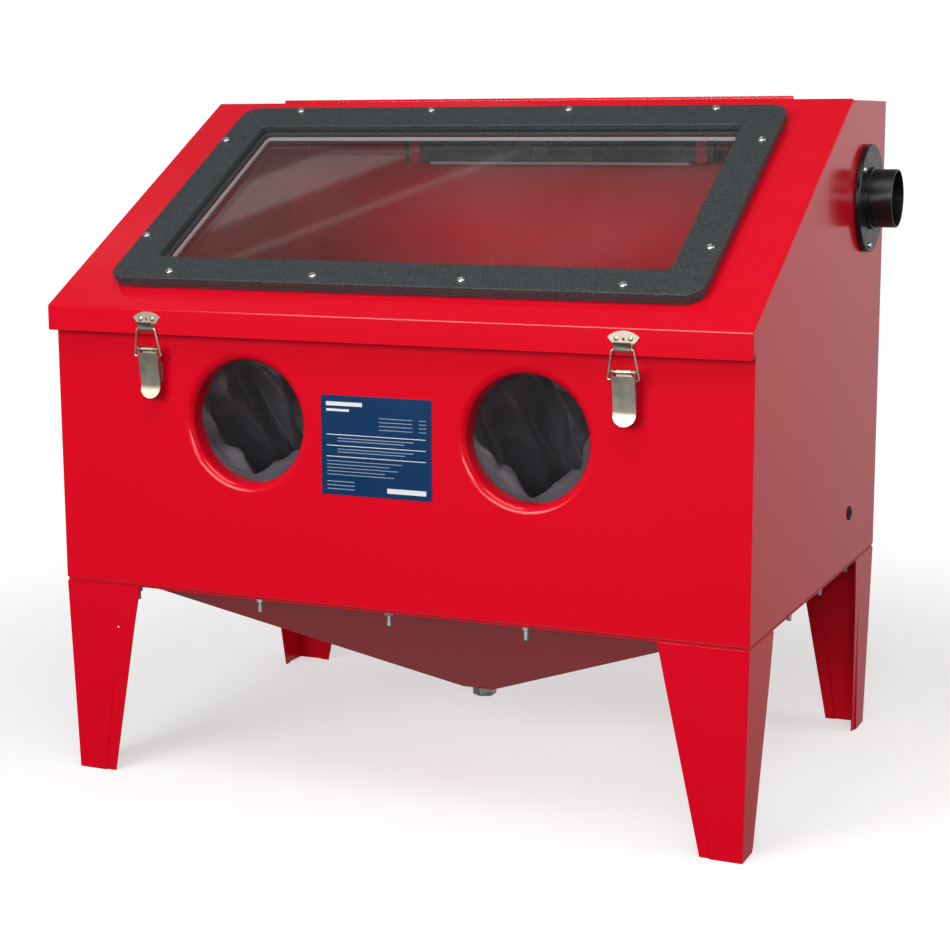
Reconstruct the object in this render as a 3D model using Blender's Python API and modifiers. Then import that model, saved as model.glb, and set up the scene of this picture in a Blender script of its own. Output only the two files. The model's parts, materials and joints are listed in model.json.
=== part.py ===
"""Sandblast cabinet: a sheet metal box on four folded legs, with a hinged window lid, arm holes and a hopper.

The parts are modelled about the cabinet's own centre plane (X = 0), the outer face of its front panel (Y = 0)
and the floor (Z = 0). One empty then moves everything, so that the origin is under the middle of the whole object.
"""

import math

import bmesh
import bpy
from mathutils import Matrix, Vector

# Driving dimensions, in metres
BODY_WIDTH = 0.835
BODY_DEPTH = 0.557
BODY_BOTTOM = 0.235
BODY_TOP = 0.7876
SHEET = 0.0015
GAP = 0.0003
FLANGE = 0.040
SEAT_FLANGE = 0.020
REAR_FLANGE = 0.032

LID_OVERHANG = 0.016
LID_SIDE_GAP = 0.0022
LID_BEND_Z = 0.5586
LID_REAR = (0.3794, 0.7900)
LID_LIP = 0.0287
LID_SIDE_DEPTH = 0.0225
LID_REAR_DEPTH = 0.0080
SEAT_DROP = 0.0100

FRAME_HALF_WIDTH = 0.3555
FRAME_LOW = 0.0400
FRAME_HIGH = 0.4205
FRAME_BORDER = 0.0445
FRAME_THICKNESS = 0.0143

ARM_X = 0.1695
ARM_Z = 0.4330
ARM_RADIUS = 0.0700
ARM_ROLL = 0.0100
ARM_COLLAR = 0.0250

PORT_Y = 0.4650
PORT_Z = 0.6730
PORT_FLANGE_RADIUS = 0.0640
PORT_TUBE_RADIUS = 0.0345
PORT_END_X = 0.4550
PORT_SCREW_RADIUS = 0.0560
INLET_Y = 0.4208
INLET_Z = 0.2982

HOPPER_MOUTH_INSET = 0.0420
HOPPER_OUTLET_Z = 0.0780
HOPPER_OUTLET_HALF = 0.0200

LEG_TOP_FRONT = 0.1000
LEG_TOP_SIDE = 0.0910
LEG_FOOT = 0.0480
LEG_LEAN = 0.0050
LEG_SHEET = 0.0020
LEG_TRIM_Z = -0.0020
CREASE_TOP_Z = 0.1820
JOGGLE = 0.0025

LATCH_X = 0.2843
LATCH_BAR = (-0.0191, 0.5365)
LATCH_PIN = (-0.0153, 0.5130)
LEVER_HALF_WIDTH = 0.0125
LEVER_SHEET = 0.0012

HINGE_X = 0.0118
HINGE_HALF_LENGTH = 0.3360
HINGE_RADIUS = 0.0030
HINGE_PIN_RADIUS = 0.0015
HINGE_BORE_RADIUS = 0.0016
KNUCKLES = 15

# Worked out from them
HALF_WIDTH = BODY_WIDTH / 2
SLOPE = math.atan2(LID_REAR[1] - LID_BEND_Z, LID_REAR[0] + LID_OVERHANG)
LID_LENGTH = math.hypot(LID_REAR[1] - LID_BEND_Z, LID_REAR[0] + LID_OVERHANG)
LID_HALF_WIDTH = HALF_WIDTH + LID_SIDE_GAP
SEAT_RISE = SEAT_DROP / math.cos(SLOPE)
GASKET_TOP = BODY_BOTTOM - GAP
GASKET_SHEET = 0.0020
HOPPER_TOP = GASKET_TOP - GASKET_SHEET - GAP
LEG_TOP = HOPPER_TOP - SHEET - GAP
FRONT_END = -0.0239
REAR_END = BODY_DEPTH
LEFT_END = -LID_HALF_WIDTH
RIGHT_END = PORT_END_X
GRID_Z = BODY_BOTTOM + 0.0473
FLOOR_SHEET = 0.0020
FLOOR_TOP = GRID_Z + GAP + FLOOR_SHEET
FLOOR_DEPTH = (0.0060, BODY_DEPTH - 0.0075)
FLOOR_ROWS = 13
FLOOR_RIB = 0.0140
SLOT_WIDTH = (FLOOR_DEPTH[1] - FLOOR_DEPTH[0] - (FLOOR_ROWS + 1) * FLOOR_RIB) / FLOOR_ROWS

ALONG_X = (0, math.pi / 2, 0)
OUT_OF_FRONT = (math.pi / 2, 0, 0)
SIDE_PLANE = (math.pi / 2, 0, math.pi / 2)

PARTS = bpy.data.collections.new("sandblast_cabinet")
CUTTERS = bpy.data.collections.new("cutters")


def lid_height(y):
    """Height of the lid's top surface at a depth y."""
    return LID_BEND_Z + (y + LID_OVERHANG) * math.tan(SLOPE)


def seat_height(y):
    """Height of the sloping plane that the lid's seal closes on."""
    return lid_height(y) - SEAT_RISE


TOP_BEND_Y = (BODY_TOP - seat_height(0)) / math.tan(SLOPE)


def material(name, colour, roughness, metallic=0.0, alpha=1.0):
    made = bpy.data.materials.new(name)
    made.use_nodes = True
    shader = made.node_tree.nodes["Principled BSDF"]
    shader.inputs["Base Color"].default_value = (*colour, 1)
    shader.inputs["Roughness"].default_value = roughness
    shader.inputs["Metallic"].default_value = metallic
    shader.inputs["Alpha"].default_value = alpha
    return made


RED = material("red_paint", (0.72, 0.008, 0.02), 0.25)
BLACK_TEXTURED = material("black_textured", (0.045, 0.05, 0.053), 0.6)
BLACK_PLASTIC = material("black_plastic", (0.012, 0.013, 0.014), 0.35)
RUBBER = material("rubber", (0.02, 0.02, 0.02), 0.8)
FABRIC = material("fabric", (0.045, 0.045, 0.055), 0.85)
GLASS = material("glass", (0.8, 0.85, 0.85), 0.05, alpha=0.2)
ZINC = material("zinc_plate", (0.6, 0.56, 0.47), 0.3, 1.0)
STEEL = material("bare_steel", (0.45, 0.45, 0.44), 0.45, 1.0)
LABEL_BLUE = material("label_blue", (0.01, 0.04, 0.14), 0.4)
LENS = material("lamp_lens", (0.85, 0.87, 0.85), 0.3)


def place(name, data, paint, location=(0, 0, 0), rotation=(0, 0, 0), parent=None, cutter=False):
    """An object in the model's collection, or a hidden cutter in the other one."""
    made = bpy.data.objects.new(name, data)
    made.location = location
    made.rotation_euler = rotation
    made.parent = parent or ORIGIN
    if paint:
        data.materials.append(paint)
    if cutter:
        made.hide_render = True
        made.display_type = "WIRE"
    (CUTTERS if cutter else PARTS).objects.link(made)
    return made


def mesh_from(bm, name):
    mesh = bpy.data.meshes.new(name)
    bm.to_mesh(mesh)
    bm.free()
    return mesh


def box(name, low, high, paint, **where):
    """A box between two corners, with its origin in its middle."""
    low, high = Vector(low), Vector(high)
    bm = bmesh.new()
    bmesh.ops.create_cube(bm, size=1)
    bmesh.ops.scale(bm, vec=high - low, verts=bm.verts)
    return place(name, mesh_from(bm, name), paint, (low + high) / 2, **where)


def cylinder(name, radius, length, paint, location, rotation=(0, 0, 0), segments=24, **where):
    """A cylinder along its own Z, centred on its location."""
    bm = bmesh.new()
    bmesh.ops.create_cone(
        bm, cap_ends=True, segments=segments, radius1=radius, radius2=radius, depth=length
    )
    made = place(name, mesh_from(bm, name), paint, location, rotation, **where)
    smooth(made)
    return made


def smooth(made):
    if made.type == "MESH":
        made.data.shade_smooth()
        made.data.set_sharp_from_angle(angle=math.radians(40))


def plate(name, outlines, thickness, paint, location=(0, 0, 0), rotation=(0, 0, 0), **where):
    """A flat plate: the first outline is its edge and the others are holes. Its middle plane is at local Z = 0."""
    bm = bmesh.new()
    for outline in outlines:
        verts = [bm.verts.new((x, y, -thickness / 2)) for x, y in outline]
        for first, second in zip(verts, verts[1:] + verts[:1]):
            bm.edges.new((first, second))
    bmesh.ops.triangle_fill(bm, edges=bm.edges, use_beauty=True)
    raised = bmesh.ops.extrude_face_region(bm, geom=bm.faces)["geom"]
    verts = [element for element in raised if isinstance(element, bmesh.types.BMVert)]
    bmesh.ops.translate(bm, vec=(0, 0, thickness), verts=verts)
    bmesh.ops.recalc_face_normals(bm, faces=bm.faces)
    return place(name, mesh_from(bm, name), paint, location, rotation, **where)


def sheet_from(bm, name, thickness, outward, paint, fold=0.0, **where):
    """Bent sheet metal from its outer surface, thickened inwards, with rounded folds.

    outward is the side that the face nearest to that direction looks to.
    """
    bmesh.ops.remove_doubles(bm, verts=bm.verts, dist=1e-6)
    bmesh.ops.recalc_face_normals(bm, faces=bm.faces)
    facing = max(bm.faces, key=lambda face: abs(face.normal.dot(Vector(outward))))
    if facing.normal.dot(Vector(outward)) < 0:
        bmesh.ops.reverse_faces(bm, faces=bm.faces)
    made = place(name, mesh_from(bm, name), paint, **where)
    if fold:
        rounding = made.modifiers.new("folds", "BEVEL")
        rounding.width = fold
        rounding.segments = 2
        rounding.limit_method = "ANGLE"
        rounding.angle_limit = math.radians(50)
    wall = made.modifiers.new("thickness", "SOLIDIFY")
    wall.solidify_mode = "NON_MANIFOLD"
    wall.nonmanifold_thickness_mode = "CONSTRAINTS"
    wall.thickness = thickness
    wall.offset = -1
    smooth(made)
    return made


def sheet(name, faces, thickness, outward, paint, fold=0.0, **where):
    """Bent sheet metal from flat faces that share edges."""
    bm = bmesh.new()
    for face in faces:
        bm.faces.new([bm.verts.new(point) for point in face])
    return sheet_from(bm, name, thickness, outward, paint, fold, **where)


def turned(name, profile, paint, location=(0, 0, 0), rotation=(0, 0, 0), steps=32, **where):
    """A ring turned about its own Z from a closed profile of (radius, height) points."""
    bm = bmesh.new()
    verts = [bm.verts.new((radius, 0, height)) for radius, height in profile]
    for first, second in zip(verts, verts[1:] + verts[:1]):
        bm.edges.new((first, second))
    made = place(name, mesh_from(bm, name), paint, location, rotation, **where)
    screw = made.modifiers.new("turn", "SCREW")
    screw.steps = screw.render_steps = steps
    screw.merge_threshold = 0.0001
    screw.use_merge_vertices = True
    screw.use_smooth_shade = True
    return made


def rod(name, points, radius, paint, cyclic=False, resolution=2, **where):
    """A round wire or tube along a list of points."""
    curve = bpy.data.curves.new(name, "CURVE")
    curve.dimensions = "3D"
    curve.bevel_depth = radius
    curve.bevel_resolution = resolution
    curve.use_fill_caps = True
    spline = curve.splines.new("POLY")
    spline.points.add(len(points) - 1)
    for point, place_of in zip(spline.points, points):
        point.co = (*place_of, 1)
    spline.use_cyclic_u = cyclic
    return place(name, curve, paint, **where)


def boolean(made, other, operation="DIFFERENCE"):
    step = made.modifiers.new(operation.lower(), "BOOLEAN")
    step.operation = operation
    step.object = other
    step.solver = "EXACT"


def arc(centre, radius, start, end, steps):
    """Points on a circle from one angle to another, in degrees, both ends included."""
    angles = [math.radians(start + (end - start) * i / steps) for i in range(steps + 1)]
    return [(centre[0] + radius * math.cos(a), centre[1] + radius * math.sin(a)) for a in angles]


def rounded_rectangle(low, high, radius, steps=4):
    (x0, y0), (x1, y1) = low, high
    return (
        arc((x1 - radius, y0 + radius), radius, -90, 0, steps)
        + arc((x1 - radius, y1 - radius), radius, 0, 90, steps)
        + arc((x0 + radius, y1 - radius), radius, 90, 180, steps)
        + arc((x0 + radius, y0 + radius), radius, 180, 270, steps)
    )


def rectangle(low, high):
    (x0, y0), (x1, y1) = low, high
    return [(x0, y0), (x1, y0), (x1, y1), (x0, y1)]


def corner_reliefs(made, low_y, high_y):
    """Cuts a panel's flanges back at both ends, so that the side panels pass them."""
    for side in (-1, 1):
        edge = side * (HALF_WIDTH - SHEET - GAP)
        far = side * (HALF_WIDTH + 0.01)
        cutter = box(
            f"{made.name}_relief_{'right' if side > 0 else 'left'}",
            (min(edge, far), low_y, BODY_BOTTOM - 0.01),
            (max(edge, far), high_y, BODY_TOP + 0.01),
            None,
            cutter=True,
        )
        boolean(made, cutter)


# ---------------------------------------------------------------- body


def front_panel():
    """Front wall with its bottom flange, its sloping seat flange and two rolled-in arm collars."""
    top = seat_height(0)
    seat_y = SEAT_FLANGE * math.cos(SLOPE)
    path = [(FLANGE, BODY_BOTTOM), (0, BODY_BOTTOM), (0, top), (seat_y, seat_height(seat_y))]
    bm = bmesh.new()
    left, right = ([bm.verts.new((x, *point)) for point in path] for x in (-HALF_WIDTH, HALF_WIDTH))
    for i in (0, 2):
        bm.faces.new((left[i], right[i], right[i + 1], left[i + 1]))
    rims = [bm.edges.new((row[1], row[2])) for row in (left, right)]
    rims += [bm.edges.get((left[i], right[i])) for i in (1, 2)]
    roll = arc((ARM_RADIUS + ARM_ROLL, ARM_ROLL), ARM_ROLL, 270, 180, 4) + [(ARM_RADIUS, ARM_COLLAR)]
    for side in (-1, 1):
        rings = [
            [bm.verts.new((side * ARM_X + u, depth, ARM_Z + v)) for u, v in arc((0, 0), radius, 0, 350, 35)]
            for radius, depth in roll
        ]
        for i in range(36):
            j = (i + 1) % 36
            rims.append(bm.edges.new((rings[0][i], rings[0][j])))
            for outer, inner in zip(rings, rings[1:]):
                bm.faces.new((outer[i], outer[j], inner[j], inner[i]))
    bmesh.ops.triangle_fill(bm, edges=rims, use_beauty=True, use_dissolve=False)
    panel = sheet_from(bm, "front_panel", SHEET, (0, -1, 0), RED)
    corner_reliefs(panel, SHEET + 0.0001, 0.1)
    return panel


def side_panel(side):
    """Side wall with flanges along its bottom, its slope and its rear edge."""
    word = "right" if side > 0 else "left"
    x = side * HALF_WIDTH
    x_flange = side * (HALF_WIDTH - FLANGE)
    x_seat = side * (HALF_WIDTH - SEAT_FLANGE)
    x_rear = side * (HALF_WIDTH - REAR_FLANGE)
    front = SHEET + GAP
    rear = BODY_DEPTH - SHEET - GAP
    top = BODY_TOP - SHEET - GAP
    bend = TOP_BEND_Y - 0.002
    low = (FLANGE + GAP, rear - FLANGE)
    seat = (0.0190, TOP_BEND_Y - 0.0290)
    seat_z = [seat_height(y) for y in seat]
    back = (BODY_BOTTOM + 0.003, top - 0.003)
    wall = [
        (x, front, BODY_BOTTOM),
        (x, low[0], BODY_BOTTOM),
        (x, low[1], BODY_BOTTOM),
        (x, rear, BODY_BOTTOM),
        (x, rear, back[0]),
        (x, rear, back[1]),
        (x, rear, top),
        (x, bend, top),
        (x, bend - 0.002, seat_height(bend - 0.002)),
        (x, seat[1], seat_z[1]),
        (x, seat[0], seat_z[0]),
        (x, front, seat_height(front)),
    ]
    faces = [
        wall,
        [wall[1], wall[2], (x_flange, low[1], BODY_BOTTOM), (x_flange, low[0], BODY_BOTTOM)],
        [wall[4], wall[5], (x_rear, rear, back[1]), (x_rear, rear, back[0])],
        [wall[9], wall[10], (x_seat, seat[0], seat_z[0]), (x_seat, seat[1], seat_z[1])],
    ]
    panel = sheet(f"{word}_side_panel", faces, SHEET, (side, 0, 0), RED)
    if side > 0:
        duct = cylinder(
            "port_duct_hole", PORT_TUBE_RADIUS - 0.0015, 0.02, None, (x, PORT_Y, PORT_Z), ALONG_X, 32, cutter=True
        )
        inlet = cylinder("inlet_hole", 0.0070, 0.02, None, (x, INLET_Y, INLET_Z), ALONG_X, 20, cutter=True)
        boolean(panel, duct)
        boolean(panel, inlet)
    return panel


def rear_panel():
    wide = HALF_WIDTH
    top = BODY_TOP - SHEET - GAP
    path = [(BODY_DEPTH - FLANGE, BODY_BOTTOM), (BODY_DEPTH, BODY_BOTTOM), (BODY_DEPTH, top)]
    faces = [
        [(-wide, *a), (wide, *a), (wide, *b), (-wide, *b)] for a, b in ((path[1], path[2]), (path[0], path[1]))
    ]
    panel = sheet("rear_panel", faces, SHEET, (0, 1, 0), RED)
    corner_reliefs(panel, BODY_DEPTH - 0.1, BODY_DEPTH - SHEET - 0.0001)
    return panel


def top_panel():
    """Flat top with a flange that slopes down under the lid's rear edge."""
    wide = HALF_WIDTH
    inner = HALF_WIDTH - SHEET - GAP
    seat_y = TOP_BEND_Y - 0.0277
    top = [(-wide, BODY_DEPTH), (wide, BODY_DEPTH), (wide, TOP_BEND_Y), (inner, TOP_BEND_Y)]
    top += [(-inner, TOP_BEND_Y), (-wide, TOP_BEND_Y)]
    faces = [
        [(x, y, BODY_TOP) for x, y in top],
        [
            (inner, TOP_BEND_Y, BODY_TOP),
            (-inner, TOP_BEND_Y, BODY_TOP),
            (-inner, seat_y, seat_height(seat_y)),
            (inner, seat_y, seat_height(seat_y)),
        ],
    ]
    return sheet("top_panel", faces, SHEET, (0, 0, 1), RED)


def hopper():
    """Flanged inverted pyramid that carries the spent media to its outlet."""
    mid_y = BODY_DEPTH / 2
    rims = [
        (HALF_WIDTH - 0.0010, BODY_DEPTH / 2 - 0.0010, HOPPER_TOP),
        (HALF_WIDTH - HOPPER_MOUTH_INSET, BODY_DEPTH / 2 - HOPPER_MOUTH_INSET, HOPPER_TOP),
        (HOPPER_OUTLET_HALF, HOPPER_OUTLET_HALF, HOPPER_OUTLET_Z),
    ]
    rings = [
        [(-x, mid_y - y, z), (x, mid_y - y, z), (x, mid_y + y, z), (-x, mid_y + y, z)] for x, y, z in rims
    ]
    faces = [rings[2]]
    for outer, inner in zip(rings, rings[1:]):
        for i in range(4):
            j = (i + 1) % 4
            faces.append([outer[i], outer[j], inner[j], inner[i]])
    made = sheet("hopper", faces, SHEET, (0, 0, 1), RED)
    outlet = cylinder("outlet_hole", 0.0110, 0.02, None, (0, mid_y, HOPPER_OUTLET_Z), cutter=True)
    boolean(made, outlet)
    half_depth = BODY_DEPTH / 2
    outer = rectangle((-rims[0][0], -rims[0][1]), (rims[0][0], rims[0][1]))
    hole = rectangle((-rims[1][0], -rims[1][1]), (rims[1][0], rims[1][1]))
    plate("hopper_gasket", [outer, hole], GASKET_SHEET, RUBBER, (0, half_depth, GASKET_TOP - GASKET_SHEET / 2))


def outlet():
    """Socket on the hopper's floor, with the plug that closes it from below."""
    mid_y = BODY_DEPTH / 2
    floor = HOPPER_OUTLET_Z
    bore, outer, tall = 0.0104, 0.0155, 0.0120
    profile = [(outer, floor + GAP + tall), (outer, floor + GAP), (bore, floor + GAP), (bore, floor + GAP + tall)]
    turned("outlet_socket", profile, STEEL, (0, mid_y, 0), steps=24)
    under = floor - SHEET - GAP
    washer = 0.0010
    turned(
        "plug_washer",
        [(0.0138, under), (0.0138, under - washer), (0.0104, under - washer), (0.0104, under)],
        RUBBER,
        (0, mid_y, 0),
        steps=24,
    )
    head_top = under - washer - GAP
    head_tall, head_radius = 0.0110, 0.0150
    plug = cylinder(
        "drain_plug", head_radius, head_tall, STEEL, (0, mid_y, head_top - head_tall / 2), segments=6
    )
    chamfer = plug.modifiers.new("chamfer", "BEVEL")
    chamfer.width = 0.0010
    chamfer.segments = 1
    shank_tall = 0.0150
    shank = cylinder(
        "plug_shank", 0.0100, shank_tall, None, (0, mid_y, head_top + shank_tall / 2 - 0.002), segments=24, cutter=True
    )
    boolean(plug, shank, "UNION")


def leg(word, side_x, side_y, floor_cutter):
    """Tapered leg folded from one sheet, with a joggled strip along each free edge and a flange on top."""

    def at(x, y, z):
        """x and y are distances in from the cabinet's outer corner."""
        corner_y = 0 if side_y < 0 else BODY_DEPTH
        return (side_x * (HALF_WIDTH - x), corner_y - side_y * y, z)

    def lean(z):
        return LEG_LEAN * (1 - z / LEG_TOP)

    def free_edge(top_width, z):
        foot_width = LEG_LEAN + LEG_FOOT
        return foot_width + (top_width - foot_width) * z / LEG_TOP

    def wall(top_width, strip_top, strip_foot, point):
        """One of the two walls. point maps (distance along the wall, depth into the leg, height)."""
        crease, foot = CREASE_TOP_Z, LEG_TRIM_Z
        a = free_edge(top_width, crease) - strip_top
        b = free_edge(top_width, foot) - strip_foot
        step = 0.003
        main = [
            point(lean(LEG_TOP), 0, LEG_TOP),
            point(top_width, 0, LEG_TOP),
            point(free_edge(top_width, crease), 0, crease),
            point(a, 0, crease),
            point(b, 0, foot),
            point(lean(foot), 0, foot),
        ]
        riser = [point(a, 0, crease), point(b, 0, foot), point(b + step, JOGGLE, foot)]
        strip = [
            point(a, 0, crease),
            point(b + step, JOGGLE, foot),
            point(free_edge(top_width, foot), JOGGLE, foot),
            point(free_edge(top_width, crease), 0, crease),
        ]
        return main, riser, strip

    front = wall(LEG_TOP_FRONT, 0.022, 0.013, lambda s, d, z: at(s, lean(z) + d, z))
    side = wall(LEG_TOP_SIDE, 0.017, 0.011, lambda s, d, z: at(lean(z) + d, s, z))
    reach = 0.040
    top_front = [at(0, 0, LEG_TOP), at(LEG_TOP_FRONT, 0, LEG_TOP), at(LEG_TOP_FRONT - 0.01, reach, LEG_TOP)]
    top_front += [at(reach, reach, LEG_TOP)]
    top_side = [at(0, 0, LEG_TOP), at(reach, reach, LEG_TOP), at(reach, LEG_TOP_SIDE - 0.01, LEG_TOP)]
    top_side += [at(0, LEG_TOP_SIDE, LEG_TOP)]
    faces = [*front, *side, top_front, top_side]
    made = sheet(f"{word}_leg", faces, LEG_SHEET, (0, side_y, 0), RED)
    boolean(made, floor_cutter)


def slot_centre(row):
    return FLOOR_DEPTH[0] + FLOOR_RIB + row * (SLOT_WIDTH + FLOOR_RIB) + SLOT_WIDTH / 2


def work_floor():
    """Slotted floor that the work stands on, with the rails that carry it."""
    half = HALF_WIDTH - SHEET - 0.0040
    columns, rib = 3, 0.0300
    length = (2 * half - (columns + 1) * rib) / columns
    outlines = [rectangle((-half, FLOOR_DEPTH[0]), (half, FLOOR_DEPTH[1]))]
    for column in range(columns):
        left = -half + rib + column * (length + rib)
        for row in range(FLOOR_ROWS):
            low = slot_centre(row) - SLOT_WIDTH / 2
            outlines.append(rectangle((left, low), (left + length, low + SLOT_WIDTH)))
    plate("work_floor", outlines, FLOOR_SHEET, STEEL, (0, 0, FLOOR_TOP - FLOOR_SHEET / 2))
    leaf = 0.0200
    for side, word in ((-1, "left"), (1, "right")):
        x = side * (HALF_WIDTH - SHEET - GAP)
        inner = x - side * leaf
        ends = (FLANGE + 0.01, BODY_DEPTH - FLANGE - 0.01)
        faces = [
            [(x, ends[0], GRID_Z - leaf), (x, ends[1], GRID_Z - leaf), (x, ends[1], GRID_Z), (x, ends[0], GRID_Z)],
            [(x, ends[0], GRID_Z), (x, ends[1], GRID_Z), (inner, ends[1], GRID_Z), (inner, ends[0], GRID_Z)],
        ]
        sheet(f"{word}_floor_rail", faces, LEG_SHEET, (side, 0, 0), STEEL)


# ---------------------------------------------------------------- arm sleeves


def lofted_tube(name, x, stations, thickness, paint, segments=20, cap=False):
    """A shell through circles. A station is (y, z, angle of its axis below +Y in degrees, radius)."""
    bm = bmesh.new()
    rings = []
    for y, z, angle, radius in stations:
        tilt = math.radians(angle)
        up = Vector((0, math.sin(tilt), math.cos(tilt)))
        turns = [2 * math.pi * i / segments for i in range(segments)]
        rings.append(
            [
                bm.verts.new(
                    Vector((x, y, z)) + radius * (math.cos(t) * Vector((1, 0, 0)) + math.sin(t) * up)
                )
                for t in turns
            ]
        )
    for first, second in zip(rings, rings[1:]):
        for i in range(segments):
            j = (i + 1) % segments
            bm.faces.new((first[i], first[j], second[j], second[i]))
    if cap:
        bm.faces.new(rings[-1])
    bmesh.ops.recalc_face_normals(bm, faces=bm.faces)
    made = place(name, mesh_from(bm, name), paint)
    if thickness:
        wall = made.modifiers.new("cloth", "SOLIDIFY")
        wall.thickness = thickness
        wall.offset = 0
    smooth(made)
    return made


def arm_sleeve(side):
    """Fabric sleeve over the collar, its band clamp, and the rubber glove on its far end."""
    word = "right" if side > 0 else "left"
    x = side * ARM_X
    mouth = ARM_RADIUS + SHEET + 0.0016
    cuff_y = ARM_COLLAR - 0.0130
    floor = FLOOR_TOP
    stations = [
        (cuff_y, ARM_Z, 0, mouth),
        (ARM_COLLAR + 0.005, ARM_Z, 0, mouth),
        (0.055, ARM_Z - 0.004, 8, 0.0760),
        (0.095, ARM_Z - 0.016, 26, 0.0740),
        (0.130, ARM_Z - 0.040, 38, 0.0680),
        (0.165, ARM_Z - 0.070, 38, 0.0580),
        (0.205, floor + 0.052, 22, 0.0460),
        (0.250, floor + 0.044, 6, 0.0400),
    ]
    lofted_tube(f"{word}_sleeve", x, stations, 0.0010, FABRIC)
    band = 0.0120
    inner = mouth + 0.0005 + 2 * GAP
    profile = [(inner + 0.0012, band), (inner + 0.0012, 0), (inner, 0), (inner, band)]
    turned(f"{word}_sleeve_clamp", profile, ZINC, (x, cuff_y + 0.0005, ARM_Z), (-math.pi / 2, 0, 0), 40)
    glove(word, x, 0.2540, floor + 0.0440)


def glove(word, x, y, z):
    """A rubber glove that lies on the floor: a palm with four fingers and a thumb, from one coarse cage."""
    width, long, thick = 0.078, 0.095, 0.046
    columns = 4
    bm = bmesh.new()
    bmesh.ops.create_cube(bm, size=1)
    bmesh.ops.scale(bm, vec=(width, long, thick), verts=bm.verts)
    bmesh.ops.translate(bm, vec=(0, long / 2, -0.0180), verts=bm.verts)
    lengthwise = [e for e in bm.edges if abs(e.verts[0].co.x - e.verts[1].co.x) > width / 2]
    bmesh.ops.subdivide_edges(bm, edges=lengthwise, cuts=columns - 1, use_grid_fill=True)
    tips = [f for f in bm.faces if f.normal.y > 0.9]
    thumb_side = -1 if word == "right" else 1
    for reach in (0.045, 0.035):
        tips = bmesh.ops.extrude_discrete_faces(bm, faces=tips)["faces"]
        for face in tips:
            centre = face.calc_center_median()
            length = reach * (1.0 - 6.0 * abs(centre.x - thumb_side * 0.004))
            bmesh.ops.translate(bm, vec=(centre.x * 0.12, length, -0.002), verts=face.verts)
            for vert in face.verts:
                vert.co = centre + Vector((centre.x * 0.12, length, -0.002)) + 0.86 * (
                    vert.co - centre - Vector((centre.x * 0.12, length, -0.002))
                )
    bm.faces.ensure_lookup_table()
    flank = [f for f in bm.faces if f.normal.x * thumb_side > 0.9 and f.calc_center_median().y < long][:1]
    for _ in range(2):
        flank = bmesh.ops.extrude_discrete_faces(bm, faces=flank)["faces"]
        for face in flank:
            centre = face.calc_center_median()
            for vert in face.verts:
                vert.co = centre + 0.68 * (vert.co - centre) + Vector((thumb_side * 0.022, 0.014, -0.003))
    bmesh.ops.recalc_face_normals(bm, faces=bm.faces)
    made = place(f"{word}_glove", mesh_from(bm, word), RUBBER, (x, y, z))
    roundness = made.modifiers.new("roundness", "SUBSURF")
    roundness.levels = roundness.render_levels = 1
    smooth(made)


# ---------------------------------------------------------------- lid and window


def lid():
    """Folded tray with the window opening. Its front lip, sides and rear edge turn down."""
    x = LID_HALF_WIDTH
    front = -LID_OVERHANG
    rear_y, rear_z = LID_REAR
    side_rise = LID_SIDE_DEPTH / math.cos(SLOPE)
    lip_z = LID_BEND_Z - LID_LIP
    tail_y = rear_y + LID_REAR_DEPTH * math.sin(SLOPE)
    tail_z = rear_z - LID_REAR_DEPTH * math.cos(SLOPE)
    top = [(-x, front, LID_BEND_Z), (x, front, LID_BEND_Z), (x, rear_y, rear_z), (-x, rear_y, rear_z)]
    faces = [
        top,
        [top[0], top[1], (x, front, lip_z), (-x, front, lip_z)],
        [top[3], top[2], (x, tail_y, tail_z), (-x, tail_y, tail_z)],
    ]
    for side, low, high in ((-1, top[0], top[3]), (1, top[1], top[2])):
        edge = side * x
        inner_rear = (edge, rear_y, rear_z - side_rise)
        faces.append(
            [
                low,
                high,
                (edge, tail_y, tail_z),
                (edge, inner_rear[1], inner_rear[2]),
                (edge, front + 0.010, lid_height(front + 0.010) - side_rise),
                (edge, front, lip_z),
            ]
        )
    made = sheet("lid", faces, SHEET, (0, -math.sin(SLOPE), math.cos(SLOPE)), RED, fold=0.0022)
    return made


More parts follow.
